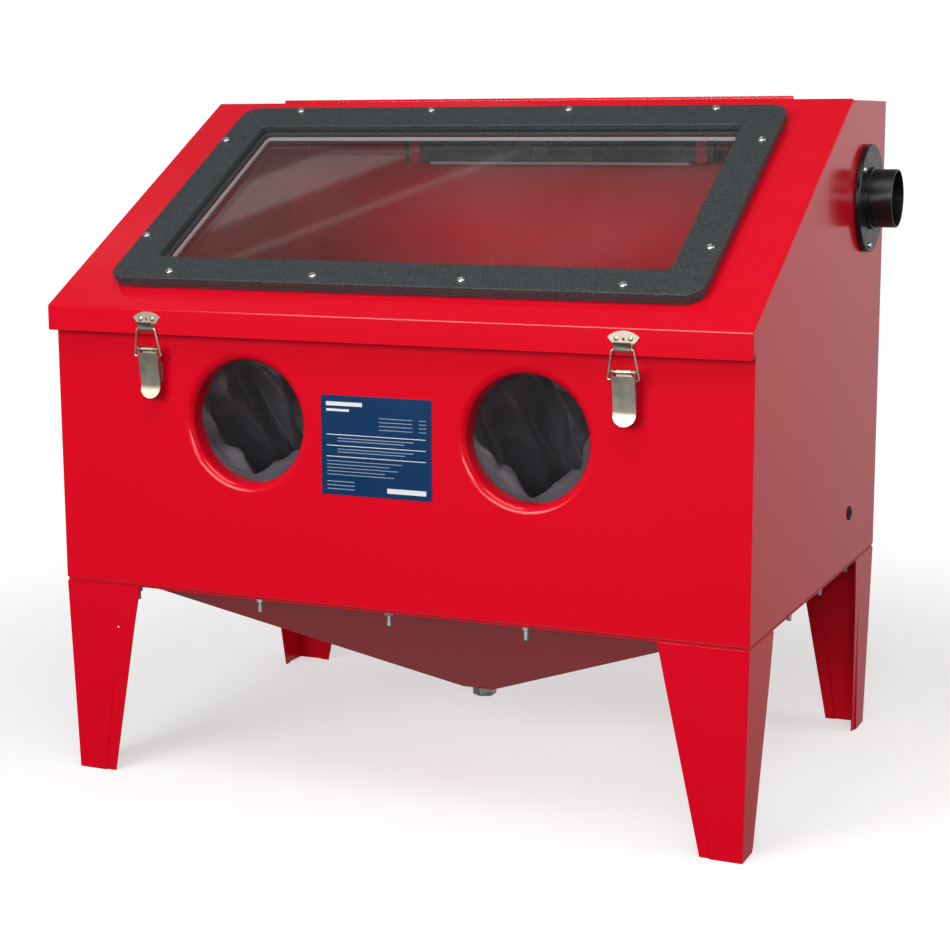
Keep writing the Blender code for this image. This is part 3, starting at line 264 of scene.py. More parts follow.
class Shader:
    """A Principled material, with helpers that add procedural detail."""

    def __init__(self, name, colour, roughness, metallic=0.0, **sockets):
        self.material = bpy.data.materials.new(name)
        self.material.use_nodes = True
        self.nodes = self.material.node_tree.nodes
        self.links = self.material.node_tree.links
        self.shader = self.nodes["Principled BSDF"]
        self.shader.inputs["Base Color"].default_value = (*colour, 1)
        self.shader.inputs["Roughness"].default_value = roughness
        self.shader.inputs["Metallic"].default_value = metallic
        for socket, value in sockets.items():
            self.shader.inputs[socket.replace("_", " ")].default_value = value
        self.place = self.nodes.new("ShaderNodeTexCoord").outputs["Object"]
        self.normal = None

    def noise(self, scale, detail=2.0, stretch=(1, 1, 1)):
        mapping = self.nodes.new("ShaderNodeMapping")
        mapping.inputs["Scale"].default_value = stretch
        texture = self.nodes.new("ShaderNodeTexNoise")
        texture.inputs["Scale"].default_value = scale
        texture.inputs["Detail"].default_value = detail
        self.links.new(self.place, mapping.inputs["Vector"])
        self.links.new(mapping.outputs[0], texture.inputs["Vector"])
        return texture.outputs["Fac"]

    def ranged(self, value, low, high, start=0.0, end=1.0):
        node = self.nodes.new("ShaderNodeMapRange")
        node.inputs["From Min"].default_value = start
        node.inputs["From Max"].default_value = end
        node.inputs["To Min"].default_value = low
        node.inputs["To Max"].default_value = high
        self.links.new(value, node.inputs["Value"])
        return node.outputs[0]

    def mixed(self, value, first, second):
        node = self.nodes.new("ShaderNodeMix")
        node.data_type = "RGBA"
        node.inputs["A"].default_value = (*first, 1)
        node.inputs["B"].default_value = (*second, 1)
        self.links.new(value, node.inputs["Factor"])
        return node.outputs["Result"]

    def vary_colour(self, value, first, second):
        self.links.new(self.mixed(value, first, second), self.shader.inputs["Base Color"])

    def vary_roughness(self, value, low, high, start=0.3, end=0.7):
        self.links.new(self.ranged(value, low, high, start, end), self.shader.inputs["Roughness"])

    def bump(self, height, strength, distance):
        node = self.nodes.new("ShaderNodeBump")
        node.inputs["Strength"].default_value = strength
        node.inputs["Distance"].default_value = distance
        self.links.new(height, node.inputs["Height"])
        if self.normal:
            self.links.new(self.normal, node.inputs["Normal"])
        self.normal = node.outputs[0]
        self.links.new(self.normal, self.shader.inputs["Normal"])


def plain(name, colour, roughness, metallic=0.0, **sockets):
    return Shader(name, colour, roughness, metallic, **sockets).material


def red_paint():
    made = Shader("red_paint", (0.745, 0.0022, 0.0175), 0.3, Coat_Weight=0.12, Coat_Roughness=0.04)
    made.shader.inputs["Specular IOR Level"].default_value = 0.32
    made.vary_colour(made.noise(1.6, 1), (0.730, 0.0018, 0.0160), (0.765, 0.0026, 0.0190))
    made.vary_roughness(made.noise(3.0, 1), 0.15, 0.21, 0.2, 0.8)
    made.bump(made.noise(420.0, 2), 0.08, 0.0002)
    return made.material


def textured_coat():
    """The window frame's black coat, with a coarse grain."""
    made = Shader("textured_coat", (0.030, 0.034, 0.036), 0.55)
    grain = made.noise(620.0, 3)
    made.vary_colour(made.ranged(grain, 0.0, 1.0, 0.34, 0.66), (0.012, 0.015, 0.017), (0.066, 0.074, 0.078))
    made.vary_roughness(made.noise(60.0, 3), 0.42, 0.62)
    made.bump(grain, 0.75, 0.0004)
    made.bump(made.noise(1500.0, 2), 0.35, 0.0003)
    return made.material


def black_plastic():
    made = Shader("black_plastic", (0.010, 0.011, 0.012), 0.3)
    made.vary_roughness(made.noise(45.0, 3), 0.22, 0.38)
    made.bump(made.noise(900.0, 2), 0.12, 0.0002)
    return made.material


def rubber():
    made = Shader("rubber", (0.018, 0.018, 0.018), 0.7)
    made.vary_colour(made.noise(40.0, 4), (0.013, 0.013, 0.013), (0.026, 0.025, 0.024))
    made.bump(made.noise(700.0, 3), 0.35, 0.0003)
    return made.material


def nylon():
    """Coated nylon cloth: a plain weave, a slight sheen and crumpled tone."""
    made = Shader("nylon", (0.078, 0.072, 0.086), 0.42, Sheen_Weight=0.20, Sheen_Roughness=0.40)
    made.vary_colour(made.noise(28.0, 4), (0.066, 0.060, 0.073), (0.094, 0.088, 0.103))
    made.vary_roughness(made.noise(60.0, 3), 0.40, 0.56)
    waves = []
    for direction in ("X", "Z"):
        wave = made.nodes.new("ShaderNodeTexWave")
        wave.bands_direction = direction
        wave.inputs["Scale"].default_value = 320.0
        wave.inputs["Distortion"].default_value = 0.6
        made.links.new(made.place, wave.inputs["Vector"])
        waves.append(wave.outputs["Fac"])
    weave = made.nodes.new("ShaderNodeMath")
    weave.operation = "MULTIPLY"
    made.links.new(waves[0], weave.inputs[0])
    made.links.new(waves[1], weave.inputs[1])
    made.bump(weave.outputs[0], 0.30, 0.0003)
    made.bump(made.noise(90.0, 5), 0.55, 0.0016)
    return made.material


def plated():
    """Nickel plated spring steel with a satin face."""
    made = Shader("plated_steel", (0.66, 0.61, 0.50), 0.38, 1.0)
    made.vary_colour(made.noise(70.0, 2), (0.60, 0.55, 0.45), (0.70, 0.65, 0.54))
    made.vary_roughness(made.noise(90.0, 2), 0.34, 0.44, 0.2, 0.8)
    made.bump(made.noise(900.0, 2, (1, 1, 0.12)), 0.06, 0.0001)
    return made.material


def steel(name, colour, rough, brushed=(1, 1, 1)):
    """Bare or bright steel with darker patches. brushed stretches its grain."""
    made = Shader(name, colour, rough, 1.0)
    dark = tuple(c * 0.72 for c in colour)
    made.vary_colour(made.noise(130.0, 4), dark, colour)
    made.vary_roughness(made.noise(180.0, 3, brushed), rough * 0.75, rough * 1.3)
    made.bump(made.noise(500.0, 3, brushed), 0.18, 0.0002)
    return made.material


def clear_glass():
    """Glass that lets light through, mirrors a little more towards grazing angles, and has dust on it."""
    made = Shader("clear_glass", (0.62, 0.58, 0.58), 0.6)
    nodes, links = made.nodes, made.links
    through = nodes.new("ShaderNodeBsdfTransparent")
    through.inputs["Color"].default_value = (0.93, 0.945, 0.94, 1)
    gloss = nodes.new("ShaderNodeBsdfGlossy")
    gloss.inputs["Color"].default_value = (1, 1, 1, 1)
    gloss.inputs["Roughness"].default_value = 0.03
    facing = nodes.new("ShaderNodeLayerWeight")
    facing.inputs["Blend"].default_value = 0.5
    power = nodes.new("ShaderNodeMath")
    power.operation = "POWER"
    power.inputs[1].default_value = 5.0
    links.new(facing.outputs["Facing"], power.inputs[0])
    mirror = made.ranged(power.outputs[0], 0.04, 1.0)
    pane = nodes.new("ShaderNodeMixShader")
    dusty = nodes.new("ShaderNodeMixShader")
    specks = made.ranged(made.noise(420.0, 2), 0.0, 0.55, 0.735, 0.78)
    haze = made.ranged(made.noise(5.0, 4), 0.008, 0.030, 0.35, 0.70)
    total = nodes.new("ShaderNodeMath")
    total.operation = "ADD"
    links.new(specks, total.inputs[0])
    links.new(haze, total.inputs[1])
    links.new(mirror, pane.inputs[0])
    links.new(through.outputs[0], pane.inputs[1])
    links.new(gloss.outputs[0], pane.inputs[2])
    links.new(total.outputs[0], dusty.inputs[0])
    links.new(pane.outputs[0], dusty.inputs[1])
    links.new(made.shader.outputs[0], dusty.inputs[2])
    links.new(dusty.outputs[0], nodes["Material Output"].inputs["Surface"])
    return made.material


def label_blue():
    made = Shader("label_blue", (0.002, 0.036, 0.115), 0.30)
    made.shader.inputs["Specular IOR Level"].default_value = 0.3
    made.vary_colour(made.noise(14.0, 1, (1, 1, 2)), (0.001, 0.026, 0.090), (0.003, 0.044, 0.140))
    made.bump(made.noise(900.0, 2), 0.05, 0.0002)
    return made.material


def diffuser():
    made = Shader("diffuser", (0.80, 0.82, 0.80), 0.35)
    made.bump(made.noise(260.0, 1, (0.2, 1, 1)), 0.3, 0.0004)
    return made.material


LOOKS = {
    "red_paint": red_paint(),
    "black_textured": textured_coat(),
    "black_plastic": black_plastic(),
    "rubber": rubber(),
    "fabric": nylon(),
    "glass": clear_glass(),
    "zinc_plate": plated(),
    "bare_steel": steel("bare_steel", (0.70, 0.71, 0.69), 0.46, (0.2, 1, 1)),
    "label_blue": label_blue(),
    "lamp_lens": diffuser(),
}
SCREW_STEEL = steel("screw_steel", (0.86, 0.86, 0.84), 0.30)
BOLT_STEEL = steel("bolt_steel", (0.82, 0.86, 0.85), 0.48)
PRINT_WHITE = plain("print_white", (0.78, 0.80, 0.82), 0.45)
PRINT_PALE = plain("print_pale", (0.25, 0.32, 0.42), 0.45)
RED_RUBBER = plain("red_rubber", (0.50, 0.004, 0.010), 0.6)
# Pale grey for the window's edge strip: a painted highlight for the bright line along the glass's edge.
EDGE_HIGHLIGHT_GREY = plain("edge_highlight_grey", (0.36, 0.38, 0.39), 0.25)

# How far the bevel rounds the edges of a node, where that isn't EDGE_WIDTH. At 0 there is none.
EDGE_WIDTH = 0.0005
EDGE = {
    "window_frame": 0.0022,
    "window_frame_base": 0.0008,
    "exhaust_port": 0.0006,
    "drain_plug": 0.0008,
    "hopper": 0.0006,
    "lamp_housing": 0.0012,
    "work_floor": 0.0,
    "hinge_pin": 0.0,
    "left_latch_bail": 0.0,
    "right_latch_bail": 0.0,
    "gun_hook": 0.0,
}


def round_edges(made, width, segments, angle):
    """A bevel on every edge sharper than angle, in degrees."""
    edge = made.modifiers.new("edges", "BEVEL")
    edge.width = width
    edge.segments = segments
    edge.limit_method = "ANGLE"
    edge.angle_limit = math.radians(angle)


def dress_cad():
    """Gives every CAD node its material and slightly rounded edges."""
    for row in frame["record"]["subparts"]:
        made = NODES[row["node"]]
        made.data.materials.clear()
        look = RED_RUBBER if row["node"] == "hopper_gasket" else LOOKS[row["material_slot"]]
        made.data.materials.append(look)
        if "custom_normal" in made.data.attributes:
            made.data.attributes.remove(made.data.attributes["custom_normal"])
        made.data.polygons.foreach_set("use_smooth", [True] * len(made.data.polygons))
        weld = made.modifiers.new("weld", "WELD")
        weld.merge_threshold = 0.00001
        if "glove" in row["node"]:
            round_off = made.modifiers.new("roundness", "SUBSURF")
            round_off.levels = round_off.render_levels = 2
            continue
        width = EDGE.get(row["node"], EDGE_WIDTH)
        if width:
            round_edges(made, width, 3 if width > 0.001 else 2, 38)
        even = made.modifiers.new("shading", "WEIGHTED_NORMAL")
        even.keep_sharp = True
        even.weight = 80


# ---------------------------------------------------------------- pieces


def piece(name, bm, paint, body, stands_for=()):
    """A finished mesh piece that rides on a body. paint is a material, or a list of them."""
    mesh = bpy.data.meshes.new(name)
    bm.to_mesh(mesh)
    bm.free()
    mesh.shade_smooth()
    mesh.set_sharp_from_angle(angle=math.radians(35))
    made = bpy.data.objects.new(name, mesh)
    for one in paint if isinstance(paint, (list, tuple)) else [paint]:
        mesh.materials.append(one)
    SCENE.collection.objects.link(made)
    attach(made, body)
    if stands_for:
        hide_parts(*stands_for)
    return made


def add_box(bm, low, high, index=0):
    """A box between two corners, with the material of that index."""
    low, high = Vector(low), Vector(high)
    matrix = Matrix.Translation((low + high) / 2) @ Matrix.Diagonal((*(high - low), 1))
    for vert in bmesh.ops.create_cube(bm, size=1, matrix=matrix)["verts"]:
        for face in vert.link_faces:
            face.material_index = index


def add_turned(bm, profile, matrix, segments=20):
    """A solid turned about the matrix's Z. profile is (radius, height) points, from axis to axis."""
    rings = []
    for radius, height in profile:
        if radius < 1e-7:
            rings.append([bm.verts.new(matrix @ Vector((0, 0, height)))])
            continue
        ring = []
        for i in range(segments):
            turn = 2 * math.pi * i / segments
            point = Vector((radius * math.cos(turn), radius * math.sin(turn), height))
            ring.append(bm.verts.new(matrix @ point))
        rings.append(ring)
    for first, second in zip(rings, rings[1:]):
        for i in range(segments):
            j = (i + 1) % segments
            corners = [first[i % len(first)], first[j % len(first)]]
            corners += [second[j % len(second)], second[i % len(second)]]
            loop = [v for k, v in enumerate(corners) if v not in corners[:k]]
            if len(loop) > 2:
                bm.faces.new(loop)


def facing(location, direction, turn=0.0):
    """A matrix whose Z looks along direction."""
    spin = Vector(direction).to_track_quat("Z", "Y").to_matrix().to_4x4()
    return Matrix.Translation(location) @ spin @ Matrix.Rotation(turn, 4, "Z")


def on_lid(u, v, height=0.0):
    """A point u across and v up the slope from the lid's front bend."""
    return at(u, LID_BEND.y, LID_BEND.z) + v * LID_ALONG + height * LID_NORMAL


def pan_head(radius, tall):
    """Half of a pan-head screw's outline, from under its head to its crown."""
    return [
        (0, -FOOT),
        (radius, -FOOT),
        (radius, tall * 0.32),
        (radius * 0.94, tall * 0.62),
        (radius * 0.76, tall * 0.86),
        (radius * 0.45, tall * 0.97),
        (0, tall),
    ]


def screws(name, places, radius, tall, body, stands_for=()):
    """Cross-head screws. places holds (point, direction, turn)."""
    bm = bmesh.new()
    for point, direction, turn in places:
        add_turned(bm, pan_head(radius, tall), facing(point, direction, turn), 24)
    made = piece(name, bm, SCREW_STEEL, body, stands_for=stands_for)
    arm, slot, deep = radius * 0.56, radius * 0.11, tall * 0.55
    cutter_mesh = bpy.data.meshes.new(name + "_cross")
    cross = bmesh.new()
    for point, direction, turn in places:
        for quarter in (0, math.pi / 2):
            matrix = facing(point, direction, turn + quarter + 0.4)
            matrix = matrix @ Matrix.Translation((0, 0, tall + deep * 0.1))
            shape = Matrix.Diagonal((2 * arm, 2 * slot, 2 * deep * 0.6, 1))
            bmesh.ops.create_cube(cross, size=1, matrix=matrix @ shape)
    cross.to_mesh(cutter_mesh)
    cross.free()
    cutter = bpy.data.objects.new(name + "_cross", cutter_mesh)
    SCENE.collection.objects.link(cutter)
    cut = made.modifiers.new("cross", "BOOLEAN")
    cut.object = cutter
    cut.solver = "EXACT"
    cut.use_self = True
    apply_modifiers(made)
    bpy.data.objects.remove(cutter)
    made.data.materials.clear()
    made.data.materials.append(SCREW_STEEL)
    return made


def apply_modifiers(made):
    """Keeps the result of the piece's modifiers as its mesh."""
    graph = bpy.context.evaluated_depsgraph_get()
    graph.update()
    mesh = bpy.data.meshes.new_from_object(made.evaluated_get(graph))
    made.modifiers.clear()
    made.data = mesh


def window_screws():
    """The twelve screws round the window frame."""
    frame_top = 0.0143
    spots = [(u, 0.4110) for u in (-0.2735, -0.0920, 0.0885, 0.2705)]
    spots += [(u, 0.0535) for u in (-0.2780, -0.0935, 0.0860, 0.2690)]
    spots += [(u, v) for u in (-0.3475, 0.3425) for v in (0.126, 0.341)]
    places = [(on_lid(u, v, frame_top), LID_NORMAL, 0.7 * i) for i, (u, v) in enumerate(spots)]
    screws("window_screws", places, 0.0047, 0.0028, "lid")


def window_edge_highlight():
    """Edge strip around the window opening, between the frame and the glass. Its pale grey is a painted
    highlight for the bright line along the glass's edge.
    """
    low, high = 0.09005, 0.37045
    half, corner, wide = 0.30545, 0.0060, 0.0016
    bottom, top = -0.0032, 0.0006
    rings = []
    for inset, height in ((0, bottom), (0, top), (wide, top), (wide, bottom)):
        ring = []
        for u, v, start in ((half, high, 0), (-half, high, 90), (-half, low, 180), (half, low, 270)):
            centre_u = math.copysign(abs(u) - corner, u)
            centre_v = v - corner if v == high else v + corner
            for step in range(7):
                angle = math.radians(start + 15 * step)
                across, along = (corner - inset) * math.cos(angle), (corner - inset) * math.sin(angle)
                ring.append(on_lid(centre_u + across, centre_v + along, height))
        rings.append(ring)
    bm = bmesh.new()
    loops = [[bm.verts.new(point) for point in ring] for ring in rings]
    for first, second in zip(loops, loops[1:] + loops[:1]):
        for i in range(len(first)):
            j = (i + 1) % len(first)
            bm.faces.new((first[i], first[j], second[j], second[i]))
    bmesh.ops.recalc_face_normals(bm, faces=bm.faces)
    piece("window_edge_highlight", bm, EDGE_HIGHLIGHT_GREY, "lid")


def port_screws():
    """The flange's own three screws."""
    places = []
    for i, node in enumerate(PORT_SCREWS, 1):
        low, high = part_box(node)
        head = Vector((high.x - 0.0022, (low.y + high.y) / 2, (low.z + high.z) / 2))
        places.append((head, (1, 0, 0), 0.9 * i))
    screws("port_screws", places, 0.0040, 0.0024, "cabinet", PORT_SCREWS)


def flange_bolts():
    """Hexagon nuts, washers and bolt ends under the hopper's flange, and under the flanges of the legs."""
    bm = bmesh.new()
    front, rear, side = 0.0155, BODY_DEPTH - 0.0155, 0.4020
    spots = [(x, y, abs(x) > 0.3) for y in (front, rear) for x in (-0.329, -0.1645, 0, 0.1645, 0.329)]
    spots += [(x, y, not 0.1 < y < 0.45) for x in (-side, side) for y in (0.078, 0.211, 0.345, 0.4785)]
    hopper_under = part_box("hopper")[1].z - SHEET
    leg_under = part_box("front_left_leg")[1].z - LEG_SHEET
    for i, (x, y, on_leg) in enumerate(spots):
        top = (leg_under if on_leg else hopper_under) - BODY_BOTTOM
        spin = facing(at(x, y, BODY_BOTTOM), (0, 0, 1), 0.37 * i)
        end = -0.0225
        washer = [(0, top), (0.0062, top), (0.0062, top - 0.0012), (0, top - 0.0012)]
        shank = [(0, top - 0.002), (0.0029, top - 0.002), (0.0029, end + 0.0006), (0.0023, end), (0, end)]
        nut_top = top - 0.0012
        nut = [(0, nut_top), (0.00577, nut_top), (0.00577, nut_top - 0.0050), (0, nut_top - 0.0050)]
        add_turned(bm, washer, spin, 20)
        add_turned(bm, shank, spin, 16)
        add_turned(bm, nut, spin, 6)
    bmesh.ops.recalc_face_normals(bm, faces=bm.faces)
    made = piece("flange_bolts", bm, BOLT_STEEL, "cabinet")
    round_edges(made, 0.0004, 2, 40)


def seams():
    """Ground weld beads that close the narrow joints between the body's panels."""
    bm = bmesh.new()
    proud, deep, wide = 0.00003, 0.0012, 0.0011
    front_top = 0.5560
    half, over = wide / 2, PANEL_GAP + wide / 2
    rear, top = BODY_DEPTH - SHEET, BODY_TOP - SHEET
    for side in (-1, 1):
        low_x, high_x = sorted((side * (HALF_WIDTH + proud), side * (HALF_WIDTH - deep)))
        add_box(bm, at(low_x, SHEET - half, BODY_BOTTOM), at(high_x, SHEET + over, front_top))
        add_box(bm, at(low_x, rear - over, BODY_BOTTOM), at(high_x, rear + half, BODY_TOP - 0.001))
        add_box(bm, at(low_x, TOP_FRONT_Y + 0.001, top - over), at(high_x, BODY_DEPTH - 0.001, top + half))
    x = HALF_WIDTH - 0.0005
    add_box(bm, at(-x, BODY_DEPTH - deep, top - over), at(x, BODY_DEPTH + proud, top + half))
    piece("panel_seams", bm, LOOKS["red_paint"], "cabinet")


def hinge():
    """Both leaves of the piano hinge, with their fine knuckles."""
    pin_low, pin_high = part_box("hinge_pin")
    axis = Vector((0, (pin_low.y + pin_high.y) / 2, (pin_low.z + pin_high.z) / 2))
    start, end = pin_low.x, pin_high.x
    count, gap = 61, 0.0007
    pitch = (end - start) / count
    radius, rounding = 0.0029, 0.0004
    under, over = axis.z - 0.0021, axis.z - 0.0009
    for first, body, node in ((0, "cabinet", "hinge_body_leaf"), (1, "lid", "hinge_lid_leaf")):
        bm = bmesh.new()
        for i in range(first, count, 2):
            left = start + i * pitch + gap / 2
            right = left + pitch - gap
            ring = [(0, left), (radius - rounding, left), (radius, left + rounding)]
            ring += [(radius, right - rounding), (radius - rounding, right), (0, right)]
            matrix = Matrix.Translation(axis) @ Matrix.Rotation(math.pi / 2, 4, "Y")
            add_turned(bm, ring, matrix, 14)
            if body == "cabinet":
                add_box(bm, (left, axis.y, under), (right, axis.y + 0.0060, over))
        if body == "cabinet":
            add_box(bm, (start, axis.y + 0.0040, under), (end, axis.y + 0.0290, over))
        else:
            tall, thick = 0.0085, 0.0012
            middle = axis - 2 * thick * LID_ALONG - tall / 2 * LID_NORMAL
            middle.x = (start + end) / 2
            tilt = Matrix((Vector((1, 0, 0)), LID_ALONG, LID_NORMAL)).transposed().to_4x4()
            shape = Matrix.Diagonal((end - start, thick, tall, 1))
            bmesh.ops.create_cube(bm, size=1, matrix=Matrix.Translation(middle) @ tilt @ shape)
        bmesh.ops.recalc_face_normals(bm, faces=bm.faces)
        name = node.replace("leaf", "knuckles")
        piece(name, bm, LOOKS["red_paint"], body, stands_for=[node])


def keeper_rivets():
    """Two rivet heads on each latch keeper."""
    bm = bmesh.new()
    dome = [(0, -FOOT), (0.0027, -FOOT), (0.0027, 0.0003), (0.0021, 0.0010), (0.0011, 0.0014), (0, 0.0015)]
    for side in (-1, 1):
        for offset in (-0.00775, 0.00775):
            spot = at(side * LATCH_X + offset, -0.0175, 0.5474)
            add_turned(bm, dome, facing(spot, (0, -1, 0)), 20)
    piece("keeper_rivets", bm, LOOKS["zinc_plate"], "lid")


def base_rivets():
    """Rivet heads that show below each lever's thumb tab and hold the latch bases."""
    bm = bmesh.new()
    dome = [(0, -FOOT), (0.0024, -FOOT), (0.0024, 0.0002), (0.0017, 0.0007), (0, 0.0010)]
    for side in (-1, 1):
        for z in (0.4790, 0.4900):
            add_turned(bm, dome, facing(at(side * LATCH_X, -0.0015, z), (0, -1, 0)), 16)
    piece("base_rivets", bm, LOOKS["zinc_plate"], "cabinet")


def label_print():
    """Plain bars and blocks in place of print."""
    low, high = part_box("label_plate")
    width, tall = high.x - low.x, high.z - low.z
    front, back = low.y - 0.00006, low.y + 0.0002
    bm = bmesh.new()

    def bar(left, top, right, bottom, index):
        """Corners as shares of the plate's width from its left, and of its height from its top."""
        first = (low.x + left * width, front, high.z - bottom * tall)
        last = (low.x + right * width, back, high.z - top * tall)
        add_box(bm, first, last, index)

    bar(0.050, 0.065, 0.380, 0.105, 0)
    bar(0.050, 0.135, 0.260, 0.160, 0)
    for i in range(4):
        top = 0.205 + i * 0.038
        bar(0.530, top, 0.830, top + 0.008, 1)
        bar(0.890, top, 0.955, top + 0.008, 1)
    for top in (0.390, 0.500):
        bar(0.050, top, 0.950, top + 0.007, 0)
        bar(0.150, top + 0.034, 0.840, top + 0.043, 1)
        bar(0.150, top + 0.062, 0.760, top + 0.071, 1)
    bar(0.050, 0.610, 0.950, 0.617, 0)
    for i, reach in enumerate((0.74, 0.62, 0.70, 0.58, 0.66)):
        top = 0.655 + i * 0.034
        bar(0.050, top, reach, top + 0.008, 1)
    for i in range(3):
        top = 0.860 + i * 0.038
        bar(0.050, top, 0.300, top + 0.009, 1)
    bar(0.600, 0.900, 0.950, 0.950, 0)
    piece("label_print", bm, [PRINT_WHITE, PRINT_PALE], "cabinet")


def leg_hole():
    """A small tooling hole near the top of the front left leg."""
    bm = bmesh.new()
    spot = at(-0.3490, 0.0012, 0.1800)
    add_turned(bm, [(0, 0.0002), (0.0011, 0.0002), (0.0011, 0), (0, 0)], facing(spot, (0, -1, 0)), 16)
    piece("leg_hole", bm, PRINT_WHITE, "cabinet")


# ---------------------------------------------------------------- sleeves

# A sleeve is cut as one piece, as wide as the way round its mouth and as long as the sleeve, and narrower at
# the cuff.
CLOTH_THICKNESS = 0.0007
SETTLE_FRAMES = 16
RINGS, RING_POINTS = 72, 104
# The shares of the sleeve's length between which the collar's clamp and the glove's cuff leave it free.
HELD_TO, HELD_FROM = 0.085, 0.965
# Folds in each sleeve's cloth: turn and share of length where it starts, the same where it ends, width,
# height. A turn is in degrees, from the operator's right and up over the top. A width is in degrees too.
FOLDS = {
    "left": (
        (172, 0.085, 214, 0.30, 20, 0.0150),
        (140, 0.12, 168, 0.62, 24, 0.0220),
        (64, 0.10, 124, 0.62, 34, 0.0200),
        (6, 0.10, -60, 0.31, 22, 0.0190),
        (214, 0.26, 262, 0.66, 26, 0.0190),
    ),
    "right": (
        (182, 0.085, 248, 0.30, 18, 0.0170),
        (76, 0.09, 22, 0.46, 20, 0.0150),
        (12, 0.10, -64, 0.31, 20, 0.0200),
        (128, 0.20, 158, 0.72, 26, 0.0150),
        (205, 0.40, 255, 0.80, 28, 0.0160),
    ),
}
# Where the slack cloth at the bottom of each mouth dips to a notch, as a turn.
NOTCH = {"left": 258, "right": 262}


def smooth_between(stations, t):
    """A point on the smooth line through stations, at a share t of their number."""
    last = len(stations) - 1
    place = min(max(t, 0.0), 0.9999) * last
    i = int(place)
    f = place - i
    a, b = stations[i], stations[i + 1]
    before, after = stations[max(i - 1, 0)], stations[min(i + 2, last)]
    made = []
    for p, q, r, s in zip(before, a, b, after):
        bend = (2 * p - 5 * q + 4 * r - s) * f**2 + (3 * q - p - 3 * r + s) * f**3
        made.append(0.5 * (2 * q + (r - p) * f + bend))
    return made


def apart(turn, other):
    """Degrees between two turns."""
    return abs((turn - other + 180) % 360 - 180)


def fold_height(word, turn, t):
    """How far the cloth stands in from its plain tube."""
    deep = 0.0
    for start, t0, end, t1, wide, height in FOLDS[word]:
        share = (t - t0) / (t1 - t0)
        if not -0.25 < share < 1.25:
            continue
        ends = min(1.0, (share + 0.25) / 0.35, (1.25 - share) / 0.35)
        ridge = 1 - math.hypot(2.5, apart(turn, start + (end - start) * share)) / wide
        if ridge > 0:
            deep = max(deep, height * ends * ridge**1.25)
    arc = max(0.0, min(1.0, (74 - apart(turn, 270)) / 24))
    dip = 0.30 + 0.70 * min(1.0, apart(turn, NOTCH[word]) / 26) ** 0.8
    heap = 0.0270 * arc * dip * math.exp(-((abs(t - 0.250) / 0.055) ** 1.5))
    return max(deep, heap)


def round_noise(turn, t, across, along, start):
    """Smooth noise on a tube, from -1 to 1, that joins up round it."""
    return noise.noise(Vector((across * math.cos(turn), across * math.sin(turn), along * t + start)))


def crease(place):
    """Sharp lines where the cloth has been folded before, from 0 to 1."""
    return max(0.0, 1 - 3.4 * abs(noise.noise(place))) ** 1.6


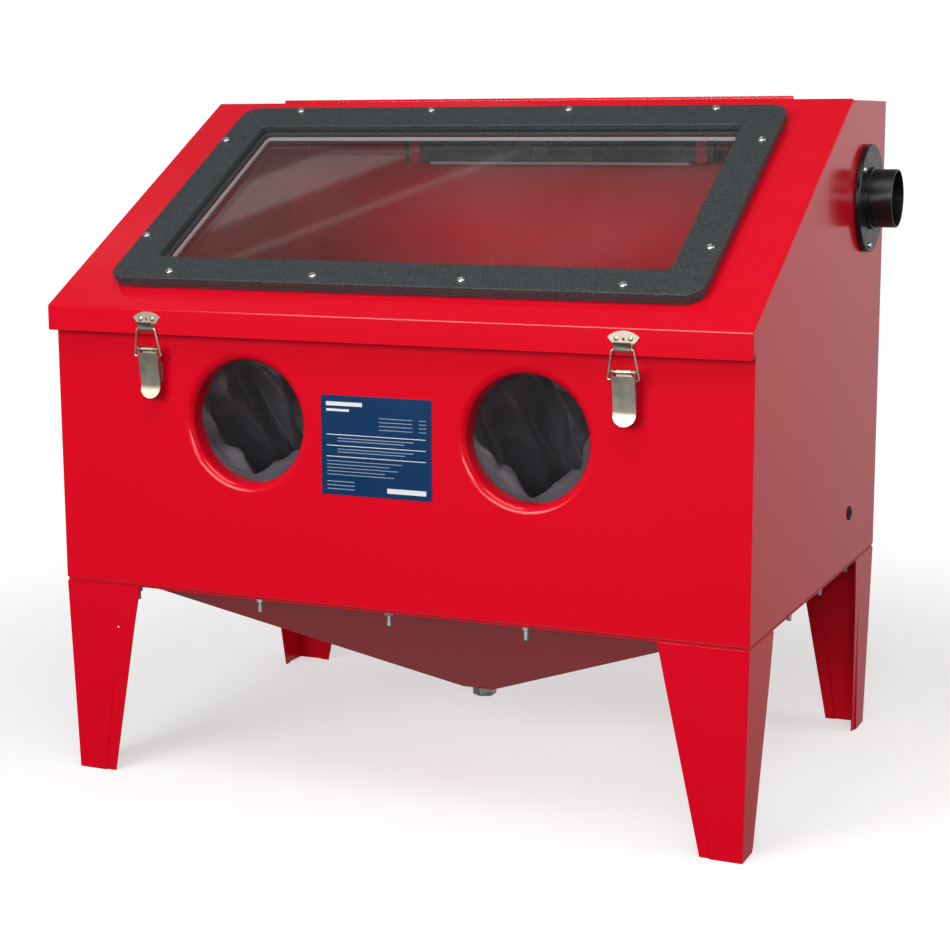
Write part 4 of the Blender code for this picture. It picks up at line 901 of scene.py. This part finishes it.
def sleeve(side, word):
    """A cloth sleeve. It hangs from the arm collar to the glove's cuff, and settles by simulation."""
    x = side * ARM_X
    floor_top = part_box("work_floor")[1].z
    mouth = ARM_RADIUS + SHEET + 0.0012
    # Y and Z of its middle, its tilt in degrees, its radius, and its height as a share of its width.
    stations = [
        (0.0120, ARM_Z, 0, mouth, 1),
        (0.0300, ARM_Z, 2, mouth, 1),
        (0.0600, ARM_Z - 0.006, 14, 0.0770, 1),
        (0.1000, ARM_Z - 0.024, 30, 0.0750, 1),
        (0.1350, ARM_Z - 0.052, 38, 0.0670, 1),
        (0.1700, ARM_Z - 0.084, 36, 0.0560, 0.95),
        (0.2080, floor_top + 0.044, 18, 0.0460, 0.80),
        (0.2620, floor_top + 0.0262, 0, 0.0408, 0.62),
    ]
    bm = bmesh.new()
    rows = []
    for i in range(RINGS):
        t = i / (RINGS - 1)
        y, z, angle, radius, squash = smooth_between(stations, t)
        tilt = math.radians(angle)
        up = Vector((0, math.sin(tilt), math.cos(tilt)))
        free = min(1.0, max(0.0, (t - HELD_TO) / 0.07)) * min(1.0, (1 - t) / 0.12)
        worn = min(1.0, max(0.0, (t - 0.24) / 0.20))
        row = []
        for j in range(RING_POINTS):
            turn = 2 * math.pi * j / RING_POINTS
            out = Vector((math.cos(turn), 0, 0)) + squash * math.sin(turn) * up
            swell = 0.06 * round_noise(turn, t, 1.7, 6, 5 * side)
            swell += 0.022 * worn * round_noise(turn, t, 5, 15, 9 * side)
            inward = fold_height(word, math.degrees(turn), t)
            twist = turn + 2.2 * t
            around = Vector((1.3 * math.cos(twist), 1.3 * math.sin(twist), 3.2 * t + 7 * side))
            inward += worn * (0.0060 * crease(around) + 0.0018 * crease(2.6 * around))
            reach = radius * (1 + free * (swell - 0.03)) - free * inward
            row.append(bm.verts.new(at(x, y, z) + out * reach))
        rows.append(row)
    for first, second in zip(rows, rows[1:]):
        for j in range(RING_POINTS):
            k = (j + 1) % RING_POINTS
            bm.faces.new((first[j], first[k], second[k], second[j]))
    bmesh.ops.recalc_face_normals(bm, faces=bm.faces)
    mesh = bpy.data.meshes.new(word + "_sleeve_cloth")
    bm.to_mesh(mesh)
    bm.free()
    made = bpy.data.objects.new(word + "_sleeve_cloth", mesh)
    SCENE.collection.objects.link(made)
    pins = made.vertex_groups.new(name="pins")
    for i in range(RINGS):
        t = i / (RINGS - 1)
        grip = 1.0 if t < HELD_TO or t > HELD_FROM else 0.30 * max(0.0, 1 - t / 0.75)
        pins.add(list(range(i * RING_POINTS, (i + 1) * RING_POINTS)), grip, "REPLACE")
    settle(made)
    finer = made.modifiers.new("finer", "SUBSURF")
    finer.levels = finer.render_levels = 1
    wall = made.modifiers.new("cloth_wall", "SOLIDIFY")
    wall.thickness = CLOTH_THICKNESS
    wall.offset = 0
    apply_modifiers(made)
    made.data.materials.clear()
    made.data.materials.append(LOOKS["fabric"])
    made.data.shade_smooth()
    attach(made, "cabinet")
    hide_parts(word + "_sleeve")


def settle(made):
    """Lets the cloth fall into place, and keeps the result."""
    cloth = made.modifiers.new("cloth", "CLOTH")
    kit = cloth.settings
    kit.quality = 5
    kit.mass = 0.10
    kit.tension_stiffness = 12
    kit.compression_stiffness = 12
    kit.shear_stiffness = 4
    kit.bending_stiffness = 2.5
    kit.tension_damping = 8
    kit.compression_damping = 8
    kit.air_damping = 2.5
    kit.pin_stiffness = 1.0
    kit.vertex_group_mass = "pins"
    cloth.collision_settings.use_self_collision = False
    cloth.collision_settings.use_collision = False
    cloth.point_cache.frame_start = 1
    cloth.point_cache.frame_end = SETTLE_FRAMES
    for number in range(1, SETTLE_FRAMES + 1):
        SCENE.frame_set(number)
    apply_modifiers(made)
    SCENE.frame_set(1)


studio()
dress_cad()
window_screws()
window_edge_highlight()
port_screws()
flange_bolts()
seams()
hinge()
keeper_rivets()
base_rivets()
label_print()
leg_hole()
for arm_side, arm_word in ((-1, "left"), (1, "right")):
    sleeve(arm_side, arm_word)
